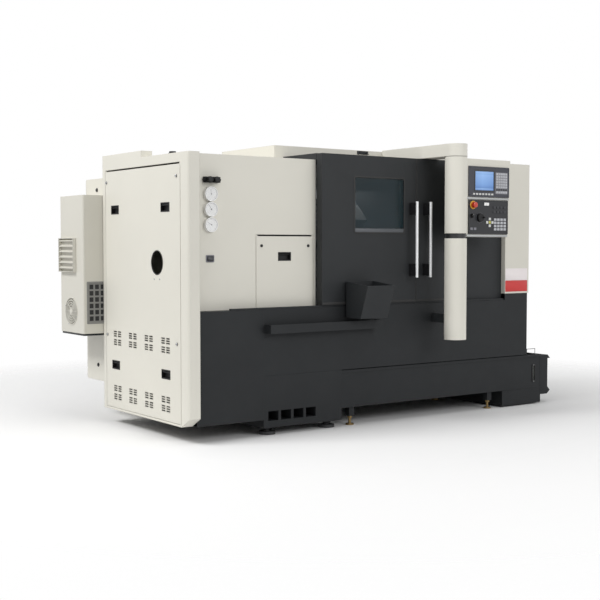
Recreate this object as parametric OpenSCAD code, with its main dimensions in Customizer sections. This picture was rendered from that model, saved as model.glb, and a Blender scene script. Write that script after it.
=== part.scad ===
// Multitasking machining center with sliding doors, a swinging control box, two spindles,
// a turret, a coolant tank that draws out and a rear electrical cabinet.
// Millimetres. +X runs along the spindle to the right, +Y to the back and +Z up.

/* [Enclosure] */
// Length from the left end face to the right cover's outer face
body_len = 3017; // [2990:1:3120]
// Depth from the end cabinet's front to the rear cover
body_depth = 1180; // [1160:1:1300]
// Height of the header and the right cover
body_top = 1843; // [1835:1:1900]
// Height of the headstock cover
cover_top = 1800; // [1795:1:1815]
// Height of the roof box
roof_top = 1920; // [1880:1:2000]
// Gap between the skirts and the floor
skirt_z = 105; // [80:1:125]
// Thickness of the sheet metal
sheet = 3; // [2:0.5:4]
// Front plane of the doors and the apron, behind the end cabinet's front
front_y = 40; // [36:1:44]
// Front plane of the headstock cover
cover_y = 112; // [110:1:130]
// Height of the ledge under the doors
ledge_z = 818; // [800:1:819]
// Where the roof box starts along the machine
roof_x0 = 965; // [900:1:1030]
// Front plane of the roof box
roof_y0 = 490; // [450:1:600]
// Width of the right cover
right_w = 255; // [240:1:300]
// Height of the right cover's lower edge
right_z0 = 866; // [850:1:900]

/* [End cabinet] */
// Thickness of the end cabinet along the machine
end_t = 80; // [60:1:120]
// Where the raised rear part of its top starts
end_raise_y = 608; // [500:1:700]
// Height of the chamfer at its lower front edge
end_chamfer_h = 58; // [30:1:90]
// Depth of that chamfer
end_chamfer_d = 97; // [40:1:120]
// Front margin beside the end panel
panel_front = 97; // [80:1:110]
// Rear margin beside the end panel
panel_rear = 40; // [30:1:60]
// Upper margin above the end panel
panel_upper = 60; // [40:1:80]
// Lower margin under the end panel
panel_lower = 14; // [10:1:30]
// Gap around a bolted panel
panel_gap = 4; // [2:0.5:6]
// Finger gap above a bolted panel
panel_top_gap = 10; // [6:1:14]
// Width of the lip that a bolted panel lies on
panel_lip = 16; // [12:1:24]
// Radius of the end cabinet's upright front edge
end_corner = 18; // [12:1:24]
// Radius of the bar hole in the end panel
bar_hole_r = 74; // [60:1:85]
// Width of a recessed grip on the end panel
grip_w = 108; // [95:1:130]
// Height of a recessed grip on the end panel
grip_h = 54; // [46:1:70]
// Length of one vent slot
vent_slot = 46; // [30:1:54]
// Height of one vent slot
vent_slot_h = 8; // [5:1:10]

/* [Headstock cover] */
// Left edge of the access panel's opening
access_x0 = 560; // [520:1:600]
// Width of the access panel's opening
access_w = 462; // [420:1:470]
// Height of the access panel's opening
access_h = 479; // [440:1:520]
// Radius of a pressure gauge
gauge_r = 46; // [38:1:47]
// Distance between the gauges
gauge_pitch = 96; // [95:1:110]
// How far a gauge stands proud
gauge_t = 24; // [16:1:30]
// Radius of a regulator knob
reg_knob_r = 18; // [14:1:21]

/* [Doors] */
// Left edge of the left leaf
door_x0 = 1039; // [1030:1:1045]
// Line where the leaves meet
door_split = 1869; // [1850:1:1885]
// Right edge of the right leaf
door_x1 = 2330; // [2315:1:2340]
// Depth of the left leaf
left_leaf_t = 60; // [50:1:64]
// Depth of the right leaf
right_leaf_t = 35; // [28:1:36]
// Left edge of the window, from the left leaf's edge
window_inset = 274; // [200:1:320]
// Width of the window
window_w = 444; // [380:1:460]
// Lower edge of the window
window_z0 = 1314; // [1250:1:1400]
// Height of the window
window_h = 380; // [300:1:400]
// Radius of a handle bar
handle_r = 11; // [9:0.5:13]
// Lower end of a handle bar
handle_z0 = 1005; // [998:1:1010]
// Length of a handle bar
handle_len = 530; // [500:1:580]
// Distance from the handle bar's centre to the door's face
handle_reach = 66; // [60:1:80]
// Distance from the left handle to the leaf's edge
handle_edge = 51; // [46:1:75]
// Distance from the right handle to the leaf's edge
right_handle_edge = 76; // [50:1:90]

/* [Control] */
// Centre of the column along the machine
column_x = 2005; // [1990:1:2020]
// Distance from the doors' plane to the column's centre
column_reach = 258; // [250:1:290]
// Radius of the column
column_r = 77; // [68:1:80]
// Lower end of the fixed column
column_z0 = 575; // [540:1:610]
// Height where the turning column starts
column_split = 1312; // [1300:1:1325]
// Height of the neck between the two columns
neck_h = 34; // [24:1:44]
// Height of the overhead arm
arm_h = 86; // [70:1:100]
// Width of the control box
box_w = 474; // [466:1:520]
// Lower edge of the control box
box_z0 = 1289; // [1286:1:1300]
// Depth of the control box
box_d = 135; // [110:1:136]
// Width of the display unit
display_w = 402; // [396:1:420]
// Height of the display unit
display_h = 215; // [205:1:222]
// Width of the operator panel
operator_w = 390; // [385:1:410]
// Height of the operator panel
operator_h = 240; // [230:1:246]
// Radius of the emergency stop
estop_r = 20; // [16:1:22]
// Travel of the emergency stop
estop_travel = 5; // [3:1:7]
// Radius of the hand dial
dial_r = 28; // [22:1:32]

/* [Base and tank] */
// Left end of the cast base
base_x0 = 575; // [560:1:590]
// Right end of the cast base
base_x1 = 2990; // [2970:1:3000]
// Height of the cast base's top
base_top = 640; // [620:1:655]
// Underside of the deck over the tank
deck_z = 405; // [395:1:440]
// Height of the levelling feet
foot_h = 50; // [40:1:70]
// Radius of a levelling foot's pad
foot_r = 55; // [45:1:60]
// Left end of the tank
tank_x0 = 1209; // [1200:1:1225]
// Right end of the tank
tank_x1 = 3170; // [3140:1:3200]
// Depth of the tank
tank_d = 670; // [620:1:684]
// Height of the tank's rim
tank_top = 384; // [370:1:386]
// Underside of the tank's shallow part
tank_z0 = 127; // [110:1:150]
// Where the tank's deep part starts
sump_x0 = 2753; // [2720:1:2800]
// Underside of the tank's deep part
sump_z0 = 10; // [8:1:30]
// Wall of the tank
tank_wall = 4; // [3:0.5:6]
// Length of the tool tray on the apron
tray_len = 916; // [880:1:940]
// Reach of the tool tray in front of the apron
tray_reach = 75; // [60:1:90]
// Height of the tool tray's lip
tray_h = 57; // [40:1:64]
// Width of the parts bin
bin_w = 232; // [200:1:260]
// Height of the parts bin's back
bin_top = 985; // [960:1:988]

/* [Spindles and turret] */
// Distance of the spindle axis from the end cabinet's front
spindle_y = 400; // [390:1:420]
// Height of the spindle axis
spindle_z = 1120; // [1110:1:1140]
// Radius of the main spindle
spindle_r = 70; // [60:1:75]
// Radius of the bore for bar stock
bar_r = 33; // [25:1:38]
// Radius of the main chuck
chuck_r = 105; // [90:1:110]
// Radius of the second spindle's chuck
sub_chuck_r = 82; // [70:1:90]
// Slant of the bed's face
slant = 45; // [44:1:46]
// Height of the spindle axis over the slanted face
axis_rise = 270; // [265:1:275]
// Distance of the spindle axis from the slanted face's lower edge
axis_run = 300; // [295:1:305]
// Length of the slanted face
slant_len = 780; // [775:1:800]
// Height of a guide rail
rail_h = 30; // [24:1:34]
// Width of a guide rail
rail_w = 36; // [28:1:44]
// Radius of the turret disc
disc_r = 130; // [120:1:135]
// Thickness of the turret disc
disc_t = 100; // [90:1:105]
// Distance of the turret's axis from the spindle axis at rest
turret_run = 420; // [415:1:425]

/* [Cabinet and cooling] */
// Left face of the electrical cabinet
cabinet_x0 = 50; // [40:1:60]
// Width of the electrical cabinet
cabinet_w = 900; // [860:1:960]
// Depth of the electrical cabinet
cabinet_d = 373; // [360:1:420]
// Lower edge of the electrical cabinet
cabinet_z0 = 270; // [240:1:300]
// Height of the electrical cabinet
cabinet_h = 1430; // [1400:1:1480]
// Depth of the cooling unit along the machine
cooler_t = 200; // [160:1:220]
// Lower edge of the cooling unit
cooler_z0 = 620; // [600:1:640]
// Height of the cooling unit
cooler_h = 955; // [900:1:990]
// Radius of the fan guard
fan_r = 98; // [90:1:120]
// Blades of the fan
fan_blades = 5; // [3:1:7]

/* [Hidden] */
$fn = 48;

// Colours
cream = [0.86, 0.85, 0.81];
dark = [0.21, 0.215, 0.225];
black = [0.06, 0.06, 0.065];
casting = [0.30, 0.31, 0.32];
steel = [0.70, 0.71, 0.72];
white = [0.93, 0.93, 0.92];
brass = [0.72, 0.58, 0.33];

// Clearances
slide_gap = 0.3;
run_gap = 0.05;
seat_gap = 0.2;
pane_gap = 1;
header_gap = 3;
recess_gap = 5;

// Front plane stations
apron_back = front_y + sheet;
left_leaf_back = front_y + left_leaf_t;
header_y0 = left_leaf_back + header_gap;
recess_y = front_y + right_leaf_t + recess_gap;
recess_lap = 20;
rail_y0 = front_y + 8;
rail_depth = 18;
door_rail_x0 = end_t + 250;
door_rail_end = 5;
door_rail_top = ledge_z + 12;
leaf_z0 = door_rail_top + slide_gap;
leaf_top = body_top - sheet;
right_x0 = body_len - right_w;
apron_x1 = body_len - 13;
apron_z0 = deck_z - 15;
rear_z0 = skirt_z + 95;
hatch_count = 2;
hatch_gap = 60;
hatch_t = 2;
hatch_inset = 70;
hatch_x0 = cabinet_x0 + cabinet_w + hatch_inset;
hatch_w = (right_x0 - hatch_inset - hatch_x0 - (hatch_count - 1) * hatch_gap) / hatch_count;
hatch_z0 = rear_z0 + 110;
hatch_h = cover_top - hatch_inset - hatch_z0;

// End panel and vents
panel_y1 = body_depth - panel_rear;
panel_z0 = skirt_z + panel_lower;
panel_z1 = cover_top - panel_upper;
panel_face = [panel_front + panel_gap, panel_y1 - panel_gap, panel_z0 + panel_gap, panel_z1 - panel_top_gap];
grip_inset_y = 194;
grip_rear_inset = 148;
grip_rows = [panel_z1 - 271, panel_z0 + 297];
grip_cols = [panel_front + grip_inset_y, panel_y1 - grip_rear_inset];
grip_depth = 25;
grip_flange = 3;
grip_wall = 3;
grip_rim_t = 1.5;
grip_play = 1;
access_grip_w = 97;
access_grip_h = 51;
vent_rows = [panel_z0 + 112, panel_z0 + 484];
vent_cols = 4;
vent_front = 197;
vent_rear = 171;
vent_first_y = panel_front + vent_front;
vent_pitch_y = (panel_y1 - vent_rear - vent_first_y) / (vent_cols - 1);
vent_col_gap = 17;
vent_pitch_z = 15;
vent_group_gap = 12;
vent_slots = 3;
screw_head_r = 9;
screw_head_t = 5;
screw_r = 4;
screw_hole_r = screw_r + 0.4;
screw_front = 49;
screw_rear = 22;
screw_rows = [panel_z1 - 83, panel_z0 + 499];
screw_cols = [panel_front + screw_front, panel_y1 - screw_rear];

// Access panel
access_z0 = ledge_z + 2;
access_face = [access_x0 + panel_gap, access_x0 + access_w - panel_gap,
               access_z0 + panel_gap, access_z0 + access_h - panel_top_gap];
access_grip_x = access_x0 + access_w / 2 - 5;
access_grip_z = access_z0 + access_h - 142;
access_screw_z = access_z0 + access_h - 72;
access_screw_inset = 45;

// Gauges and regulator
gauge_inset = 138;
gauge_drop = 250;
gauge_x = end_t + gauge_inset;
gauge_z = cover_top - gauge_drop;
gauge_rim = 4;
gauge_recess = 3;
reg_z = cover_top - 162;
reg_knob_x = [gauge_x - 23, gauge_x + 25];
reg_x0 = gauge_x - 48;
reg_x1 = gauge_x + 63;
reg_h = 36;
reg_t = 26;
reg_knob_len = 30;
reg_stem_r = 6;
reg_stem_len = 12;

// Doors
handle_y = front_y - handle_reach;
left_handle_x = door_split - handle_edge;
right_handle_x = door_split + right_handle_edge;
bracket_h = 83;
bracket_w = 26;
bracket_inset = 11;
bracket_upper = handle_len - 91;
window_x0 = door_x0 + window_inset;
window_corner = 10;
pane_lap = 14;
pane_t = 6;
frame_lap = pane_lap + pane_gap;
leaf_gap = 1;

// Control
column_y = front_y - column_reach;
stay_inset = 22;
stay_w = 32;
stay_setback = 40;
stay_h = 64;
stay_z0 = column_z0 + 106;
neck_r = column_r - 6;
pivot_r = 20;
pivot_len = 43;
arm_z0 = body_top;
upper_top = body_top - sheet;
box_x1 = column_x + column_r + box_w;
box_x0 = column_x + column_r - 22;
box_z1 = upper_top - 2;
box_front = column_y + 18;
box_back = box_front + box_d;
display_x0 = column_x + 133;
display_z0 = box_z1 - 51 - display_h;
display_t = 6;
operator_z0 = box_z0 + 21;
operator_t = 8;
screen_x0 = display_x0 + 64;
screen_w = 181;
screen_z0 = display_z0 + 47;
screen_h = 134;
screen_t = 2;
key_t = 3;
soft_key_x = 40;
soft_key_z = 14;
soft_key_pitch = 30;
soft_key_w = 20;
soft_key_h = 12;
type_key_x = 269;
type_key_z = 30;
type_key_pitch_x = 23;
type_key_pitch_z = 18.5;
type_key_w = 18;
type_key_h = 13;
axis_key_x = 248;
axis_key_z = 26;
axis_key_pitch_x = 32;
axis_key_pitch_z = 23;
axis_key_w = 24;
axis_key_h = 17;
lamp_key_x = 14;
lamp_key_z = 28;
lamp_key_pitch = 34;
cycle_key_x = 150;
cycle_key_z = 202;
cycle_key_w = 22;
cycle_key_h = 20;
cycle_key_gap = 2;
mode_key_x = 240;
mode_key_z = 150;
mode_key_pitch_x = 34;
mode_key_pitch_z = 32;
mode_key_w = 22;
mode_key_h = 16;
jog_inset = 206;
jog_rise = 83;
jog_step_x = 26;
jog_step_z = 24;
jog_w = 20;
jog_h = 18;
face_y = box_front - operator_t;
estop_x = display_x0 + 42;
estop_z = operator_z0 + operator_h - 36;
estop_stem_r = 12;
estop_head_t = 20;
estop_gap = estop_travel + 1;
knob_x = display_x0 + 28;
knob_z = operator_z0 + 128;
knob_r = 15;
knob_len = 18;
dial_x = display_x0 + 108;
dial_z = operator_z0 + 116;
dial_len = 16;
dial_pin_r = 5;
dial_pin_len = 18;
dial_pin_inset = 9;
stem_r = 6;
stem_len = operator_t - 2;

// Base and tank
base_y0 = apron_back;
base_y1 = body_depth - sheet;
bay_x0 = tank_x0 - slide_gap;
tank_y0 = front_y + 10;
tank_y1 = tank_y0 + tank_d;
bay_y1 = tank_y1 + 15;
chute_x0 = 1250;
chute_x1 = 2650;
chute_y0 = cover_y + 20;
chute_y1 = cover_y + 210;
port_w = 80;
port_h = 63;
port_d = 150;
port_pitch = 100;
port_count = 4;
port_inset = 35;
port_rise = 45;
foot_rows = [base_y0 + 75, base_y1 - 85];
foot_places = [
    for (x = [base_x0 + 75, bay_x0 - 75], y = foot_rows) [x, y],
    for (x = [(bay_x0 + base_x1) / 2, base_x1 - 90], y = [bay_y1 + 75, base_y1 - 85]) [x, y]
];
foot_pad_t = 18;
foot_stud_r = 14;
tank_foot_r = 28;
tank_foot_pad = 10;
tank_stud_r = 9;
tank_nut_r = 17;
tank_nut_h = 14;
tank_leg_w = 44;
tank_leg_z = 62;
rim_h = 19;
rim_t = 5;
tank_foot_inset = 46;
tank_foot_xs = [tank_x0 + 110, sump_x0 - 113];
tank_foot_ys = [tank_y0 + tank_foot_inset, tank_y1 - tank_foot_inset];
flange_x1 = tank_x1 + 95;
flange_lip = 28;
flange_y0 = tank_y0 + 10;
flange_z0 = tank_z0 - 60;
flange_z1 = tank_top - 10;
wire_r = 4;
wire_x0 = tank_x1 - 150;
wire_w = 90;
wire_h = 46;
gauge_slot_x = tank_x1 - 88;
gauge_slot_w = 26;
gauge_slot_z0 = tank_z0 + 53;
gauge_slot_h = 120;
tray_z0 = ledge_z - 153;
tray_x0 = base_x0 + 4;
bin_x0 = tank_x0 + 19;
bin_z0 = tray_z0 + 77;
bin_stand = 20;
bin_reach_low = 175;
bin_reach_high = 250;
bin_drop = 25;
bin_back = front_y - bin_stand;
bin_front_low = front_y - bin_reach_low;
bin_front_high = front_y - bin_reach_high;
bin_rim_z = bin_top - bin_drop;
bin_wall = 3;
hook_w = 40;
hook_inset = 20;
hook_z0 = bin_z0 + 4;
hook_z1 = ledge_z - 12;

// Bed, spindles and turret
slant_y = spindle_y - axis_run * cos(slant) + axis_rise * sin(slant);
slant_z = spindle_z - axis_run * sin(slant) - axis_rise * cos(slant);
slant_top_y = slant_y + slant_len * cos(slant);
slant_top_z = slant_z + slant_len * sin(slant);
wall_x0 = door_x0;
wall_x1 = right_x0 - 20;
bed_x0 = wall_x0 + sheet + 3;
bed_x1 = wall_x1 - 4;
bed_toe = 40;
bed_heel = 200;
bed_inset = 60;
bed_back = base_y1 - bed_inset;
bed_crest_y = (slant_top_y + base_y1) / 2;
back_wall_y = slant_top_y + 10;
rail_spread = 180;
turret_rail_low = 260;
turret_rail_high = 440;
lower_rails = [axis_run - rail_spread, axis_run + rail_spread];
upper_rails = [axis_run + turret_rail_low, axis_run + turret_rail_high];
rail_end = 12;
head_x0 = base_x0 + 25;
head_x1 = wall_x0 - 4;
head_r = 190;
nose_r = spindle_r + 12;
nose_hole_r = nose_r + 13;
nose_gap = 1;
chuck_x0 = head_x1 + 30;
chuck_t = 100;
jaw_len = 40;
jaw_slot_w = 22;
jaw_slot_d = 12;
jaw_side_gap = 0.5;
jaw_bore_gap = 12;
jaw_step = 22;
jaw_rim = 6;
spindle_x0 = base_x0 - 315;
cylinder_len = 150;
cylinder_r = spindle_r + 18;
sub_len = 380;
sub_end_gap = 12;
sub_x0 = wall_x1 - sub_len - sub_end_gap;
sub_r = 55;
sub_nose_r = sub_r + 10;
sub_nose_len = 14;
sub_chuck_t = 80;
sub_jaw_len = 35;
sub_body = 150;
sub_foot = 210;
sub_foot_t = 50;
saddle_park = 730;
saddle_x0 = sub_x0 - saddle_park;
saddle_w = 260;
saddle_lap = 30;
saddle_top = rail_h + 62;
gib_w = 24;
gib_h = 36;
turret_s = axis_run + turret_run;
plate_low = 130;
plate_high = 110;
plate_t = 58;
plate_top = saddle_top + slide_gap + plate_t;
head_overhang = 6;
head_box_x0 = saddle_x0 - head_overhang;
head_box_x1 = saddle_x0 + saddle_w - 50;
head_box = 110;
turret_shaft_r = 40;
disc_gap = 0.5;
disc_x1 = head_box_x0 - disc_gap;
stations = 12;
holder_w = 46;
holder_h = 34;
holder_end = 15;
tool_start = 25;
tool_w = 20;
tool_reach = 26;

// Cabinet and cooling
cabinet_y0 = body_depth;
cabinet_y1 = cabinet_y0 + cabinet_d;
cabinet_x1 = cabinet_x0 + cabinet_w;
cabinet_z1 = cabinet_z0 + cabinet_h;
door_t = 20;
door_inset = 6;
hinge_x = cabinet_x1 + 12;
hinge_y = cabinet_y1 + 10;
knuckle_r = 9;
hinge_pin_r = 4;
knuckle_len = 60;
hinge_leaf = 30;
seat_len = 22;
hinge_zs = [cabinet_z0 + 180, cabinet_z1 - 240];
leaf_t = 4;
module_h = 380;
module_d = 220;
module_count = 6;
module_inset = 60;
module_gap = 20;
module_pitch = (cabinet_w - 2 * module_inset) / module_count;
module_w = module_pitch - module_gap;
module_x0 = cabinet_x0 + module_inset + module_gap / 2;
cooler_x0 = cabinet_x0 - cooler_t;
cooler_y0 = cabinet_y0 + 4;
cooler_y1 = cabinet_y1;
cooler_z1 = cooler_z0 + cooler_h;
cooler_corner = 12;
hood_y0 = cooler_y1 - 258;
hood_y1 = cooler_y1 - 13;
hood_z0 = cooler_z0 + 424;
hood_h = 236;
hood_t = 25;
hood_wall = 4;
hood_slats = 6;
slat_t = 3;
slat_tilt = 35;
fan_y = (cooler_y0 + cooler_y1) / 2 + 12;
fan_z = cooler_z0 + 149;
fan_recess = 75;
fan_lap = 6;
fan_tip_gap = 10;
fan_hub_r = 34;
fan_hub_len = 40;
fan_pin_r = 8;
fan_cap = 3;
fan_setback = 18;
fan_x0 = cooler_x0 + fan_setback;
blade_t = 3;
blade_tilt = 32;
blade_w = 52;
blade_bow = 60;
blade_root = 4;
guard_wire = 4;
guard_rings = 5;
guard_ring = 7;
guard_hub = 14;
filter_x0 = cooler_x0 + 35;
filter_x1 = cabinet_x0 - 28;
filter_z0 = cooler_z0 + 76;
filter_h = 275;
filter_t = 8;
filter_cols = 3;
filter_rows = 6;
filter_bar = 12;

// Bounding box of the machine, whose bottom centre is the origin
min_x = cooler_x0 - hood_t;
max_x = flange_x1 + flange_lip;
min_y = column_y - column_r;
max_y = cabinet_y1 + slide_gap + door_t;
mid_x = (min_x + max_x) / 2;
mid_y = (min_y + max_y) / 2;

// Moves a shape from the corner of the end cabinet to the middle of the machine
module datum() {
    translate([-mid_x, -mid_y, 0]) children();
}

module block(x0, x1, y0, y1, z0, z1) {
    translate([x0, y0, z0]) cube([x1 - x0, y1 - y0, z1 - z0]);
}

module rod_x(y, z, r, x0, x1) {
    translate([x0, y, z]) rotate([0, 90, 0]) cylinder(r = r, h = x1 - x0);
}

module rod_y(x, z, r, y0, y1) {
    translate([x, y1, z]) rotate([90, 0, 0]) cylinder(r = r, h = y1 - y0);
}

module rod_z(x, y, r, z0, z1) {
    translate([x, y, z0]) cylinder(r = r, h = z1 - z0);
}

// A block whose four edges along Y are rounded
module rounded_block(x0, x1, y0, y1, z0, z1, r) {
    block(x0 + r, x1 - r, y0, y1, z0, z1);
    block(x0, x1, y0, y1, z0 + r, z1 - r);
    for (x = [x0 + r, x1 - r], z = [z0 + r, z1 - r]) rod_y(x, z, r, y0, y1);
}

// Extrudes a profile drawn in Y and Z along the machine
module along_x(x0, x1) {
    translate([x0, 0, 0]) rotate([90, 0, 90]) linear_extrude(x1 - x0) children();
}

// Coordinates on the slanted face: Y runs up the slope and Z stands off it
module on_slant() {
    translate([0, slant_y, slant_z]) rotate([slant, 0, 0]) children();
}

module machine_base() {
    color(casting) datum() difference() {
        block(base_x0, base_x1, base_y0, base_y1, foot_h, base_top);
        block(bay_x0, base_x1 + 1, base_y0 - 1, bay_y1, foot_h - 1, deck_z);
        block(chute_x0, chute_x1, chute_y0, chute_y1, deck_z - 1, base_top + 1);
        for (i = [0 : port_count - 1])
            translate([base_x0 + port_inset + i * port_pitch, base_y0 - 1, foot_h + port_rise])
                cube([port_w, port_d, port_h]);
    }
}

module levelling_feet() {
    color(steel) datum() for (p = foot_places) translate([p[0], p[1], 0]) {
        cylinder(r = foot_r, h = foot_pad_t);
        cylinder(r = foot_stud_r, h = foot_h);
    }
}

module slant_bed() {
    color(casting) datum() along_x(bed_x0, bed_x1) polygon([
        [slant_y - bed_toe, base_top],
        [slant_y, slant_z],
        [slant_top_y, slant_top_z],
        [bed_crest_y, slant_top_z],
        [bed_back, base_top + bed_heel],
        [bed_back, base_top]
    ]);
}

module guide_rails() {
    color(steel) datum() on_slant() for (s = concat(lower_rails, upper_rails))
        block(bed_x0 + rail_end, bed_x1 - rail_end, s - rail_w / 2, s + rail_w / 2, 0, rail_h);
}

module headstock() {
    color(casting) datum() difference() {
        union() {
            block(head_x0, head_x1, spindle_y - head_r, spindle_y + head_r, base_top, spindle_z);
            rod_x(spindle_y, spindle_z, head_r, head_x0, head_x1);
        }
        rod_x(spindle_y, spindle_z, spindle_r + run_gap, head_x0 - 1, head_x1 + 1);
    }
}

module main_spindle() {
    color(steel) datum() difference() {
        union() {
            rod_x(spindle_y, spindle_z, cylinder_r, spindle_x0 - cylinder_len, spindle_x0);
            rod_x(spindle_y, spindle_z, spindle_r, spindle_x0 - 1, head_x1 + nose_gap + 1);
            rod_x(spindle_y, spindle_z, nose_r, head_x1 + nose_gap, chuck_x0);
        }
        rod_x(spindle_y, spindle_z, bar_r, spindle_x0 - cylinder_len - 1, chuck_x0 + 1);
    }
}

// A three-jaw chuck that stands on its mounting face, with its axis along X
module jaw_chuck(r, t, reach) {
    difference() {
        rotate([0, 90, 0]) cylinder(r = r, h = t);
        translate([-1, 0, 0]) rotate([0, 90, 0]) cylinder(r = bar_r, h = t + 2);
        for (a = [0 : 120 : 240])
            rotate([a, 0, 0]) block(t - jaw_slot_d, t + 1, -jaw_slot_w / 2, jaw_slot_w / 2, 0, r + 1);
    }
    jaw_w = jaw_slot_w - 2 * jaw_side_gap;
    for (a = [0 : 120 : 240]) rotate([a, 0, 0]) {
        block(t - jaw_slot_d, t + reach, -jaw_w / 2, jaw_w / 2, bar_r + jaw_bore_gap, r - jaw_step);
        block(t - jaw_slot_d, t + reach / 2, -jaw_w / 2, jaw_w / 2, r - jaw_step - 1, r - jaw_rim);
    }
}

module main_chuck() {
    color(steel) datum() translate([chuck_x0, spindle_y, spindle_z]) jaw_chuck(chuck_r, chuck_t, jaw_len);
}

module sub_headstock() {
    color(casting) datum() on_slant() difference() {
        union() {
            block(sub_x0, sub_x0 + sub_len, axis_run - sub_foot, axis_run + sub_foot,
                  rail_h + slide_gap, rail_h + sub_foot_t);
            block(sub_x0, sub_x0 + sub_len, axis_run - sub_body, axis_run + sub_body,
                  rail_h + sub_foot_t - 1, axis_rise);
            rod_x(axis_run, axis_rise, sub_body, sub_x0, sub_x0 + sub_len);
        }
        rod_x(axis_run, axis_rise, sub_r + run_gap, sub_x0 - 1, sub_x0 + sub_len + 1);
    }
}

module sub_spindle() {
    chuck_face = sub_x0 - nose_gap - sub_nose_len;
    color(steel) datum() {
        difference() {
            union() {
                rod_x(spindle_y, spindle_z, sub_r, sub_x0 - nose_gap - 1, sub_x0 + sub_len);
                rod_x(spindle_y, spindle_z, sub_nose_r, chuck_face, sub_x0 - nose_gap);
            }
            rod_x(spindle_y, spindle_z, bar_r, chuck_face - 1, sub_x0 + sub_len + 1);
        }
        translate([chuck_face, spindle_y, spindle_z]) mirror([1, 0, 0])
            jaw_chuck(sub_chuck_r, sub_chuck_t, sub_jaw_len);
    }
}

module turret_saddle() {
    s0 = upper_rails[0] - saddle_lap;
    s1 = upper_rails[1] + saddle_lap;
    saddle_x1 = saddle_x0 + saddle_w;
    color(casting) datum() on_slant() {
        block(saddle_x0, saddle_x1, s0, s1, rail_h + slide_gap, saddle_top);
        for (x = [saddle_x0, saddle_x1 - gib_w])
            block(x, x + gib_w, s0, s1, saddle_top - 1, saddle_top + gib_h);
    }
}

module turret_slide() {
    color(casting) datum() on_slant() {
        block(saddle_x0 + gib_w + 1, saddle_x0 + saddle_w - gib_w - 1, turret_s - plate_low,
              turret_s + plate_high, saddle_top + slide_gap, plate_top);
        block(head_box_x0, head_box_x1, turret_s - head_box, turret_s + head_box,
              plate_top - 1, axis_rise + head_box);
        rod_x(turret_s, axis_rise, turret_shaft_r, disc_x1 - disc_t, head_box_x0 + 1);
    }
}

module turret_disc() {
    flat_r = disc_r * cos(180 / stations);
    color(steel) datum() on_slant() translate([disc_x1 - disc_t, turret_s, axis_rise]) {
        difference() {
            rotate([0, 90, 0]) cylinder(r = disc_r, h = disc_t, $fn = stations);
            translate([-1, 0, 0]) rotate([0, 90, 0]) cylinder(r = turret_shaft_r + run_gap, h = disc_t + 2);
        }
        for (i = [0 : stations - 1]) rotate([(i + 0.5) * 360 / stations, 0, 0]) {
            block(holder_end, disc_t - holder_end, -holder_w / 2, holder_w / 2, flat_r, flat_r + holder_h);
            block(tool_start, tool_start + tool_w, -tool_w / 2, tool_w / 2,
                  flat_r + holder_h, flat_r + holder_h + tool_reach);
        }
    }
}

module chamber_walls() {
    color(steel) datum() {
        difference() {
            block(wall_x0, wall_x0 + sheet, cover_y, back_wall_y + sheet, base_top, cover_top);
            rod_x(spindle_y, spindle_z, nose_hole_r, wall_x0 - 1, wall_x0 + sheet + 1);
        }
        block(wall_x1, wall_x1 + sheet, cover_y, back_wall_y + sheet, base_top, cover_top);
        block(wall_x0 + sheet, wall_x1, cover_y, cover_y + sheet, base_top, ledge_z);
        block(wall_x0 + sheet, wall_x1, back_wall_y, back_wall_y + sheet, slant_top_z, cover_top);
    }
}

module front_apron() {
    tray_x1 = tray_x0 + tray_len;
    tray_y0 = front_y - tray_reach;
    color(dark) datum() {
        block(base_x0, apron_x1, front_y, apron_back, apron_z0, ledge_z);
        block(right_x0, apron_x1, front_y, apron_back, ledge_z - 1, right_z0);
        block(base_x0, right_x0, front_y, cover_y, ledge_z - sheet, ledge_z);
        block(right_x0, apron_x1, front_y, cover_y, right_z0 - sheet, right_z0);
        block(apron_x1 - sheet, apron_x1, front_y, base_y1, apron_z0, right_z0);
        difference() {
            block(tray_x0, tray_x1, tray_y0, front_y + 1, tray_z0, tray_z0 + tray_h);
            block(tray_x0 + sheet, tray_x1 - sheet, tray_y0 + sheet, front_y,
                  tray_z0 + sheet, tray_z0 + tray_h + 1);
        }
    }
}

module lower_left_cover() {
    color(dark) datum() {
        block(end_t, base_x0, front_y, apron_back, skirt_z, ledge_z);
        block(end_t, base_x0, front_y, cover_y, ledge_z - sheet, ledge_z);
        block(end_t, base_x0, front_y, base_y1, skirt_z, skirt_z + sheet);
    }
}

// Side outline of the parts bin, grown inward by e
module bin_profile(e) {
    polygon([
        [bin_back - e, bin_z0 + e],
        [bin_back - e, bin_top + (e > 0 ? 5 : 0)],
        [bin_front_high + e, bin_rim_z + (e > 0 ? 5 : 0)],
        [bin_front_low + e, bin_z0 + e]
    ]);
}

module parts_bin() {
    color(dark) datum() {
        difference() {
            along_x(bin_x0, bin_x0 + bin_w) bin_profile(0);
            along_x(bin_x0 + bin_wall, bin_x0 + bin_w - bin_wall) bin_profile(bin_wall);
        }
        for (x = [bin_x0 + hook_inset, bin_x0 + bin_w - hook_inset - hook_w])
            block(x, x + hook_w, bin_back - 1, front_y, hook_z0, hook_z1);
    }
}

module front_left_cover() {
    color(cream) datum() difference() {
        union() {
            block(end_t, door_x0, cover_y, cover_y + 2 * sheet, ledge_z, cover_top);
            block(end_t, door_x0, cover_y, base_y1, cover_top - sheet, cover_top);
        }
        block(access_x0, access_x0 + access_w, cover_y - 1, cover_y + sheet, access_z0, access_z0 + access_h);
        block(access_x0 + panel_lip, access_x0 + access_w - panel_lip, cover_y, cover_y + 2 * sheet + 1,
              access_z0 + panel_lip, access_z0 + access_h);
    }
}

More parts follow.
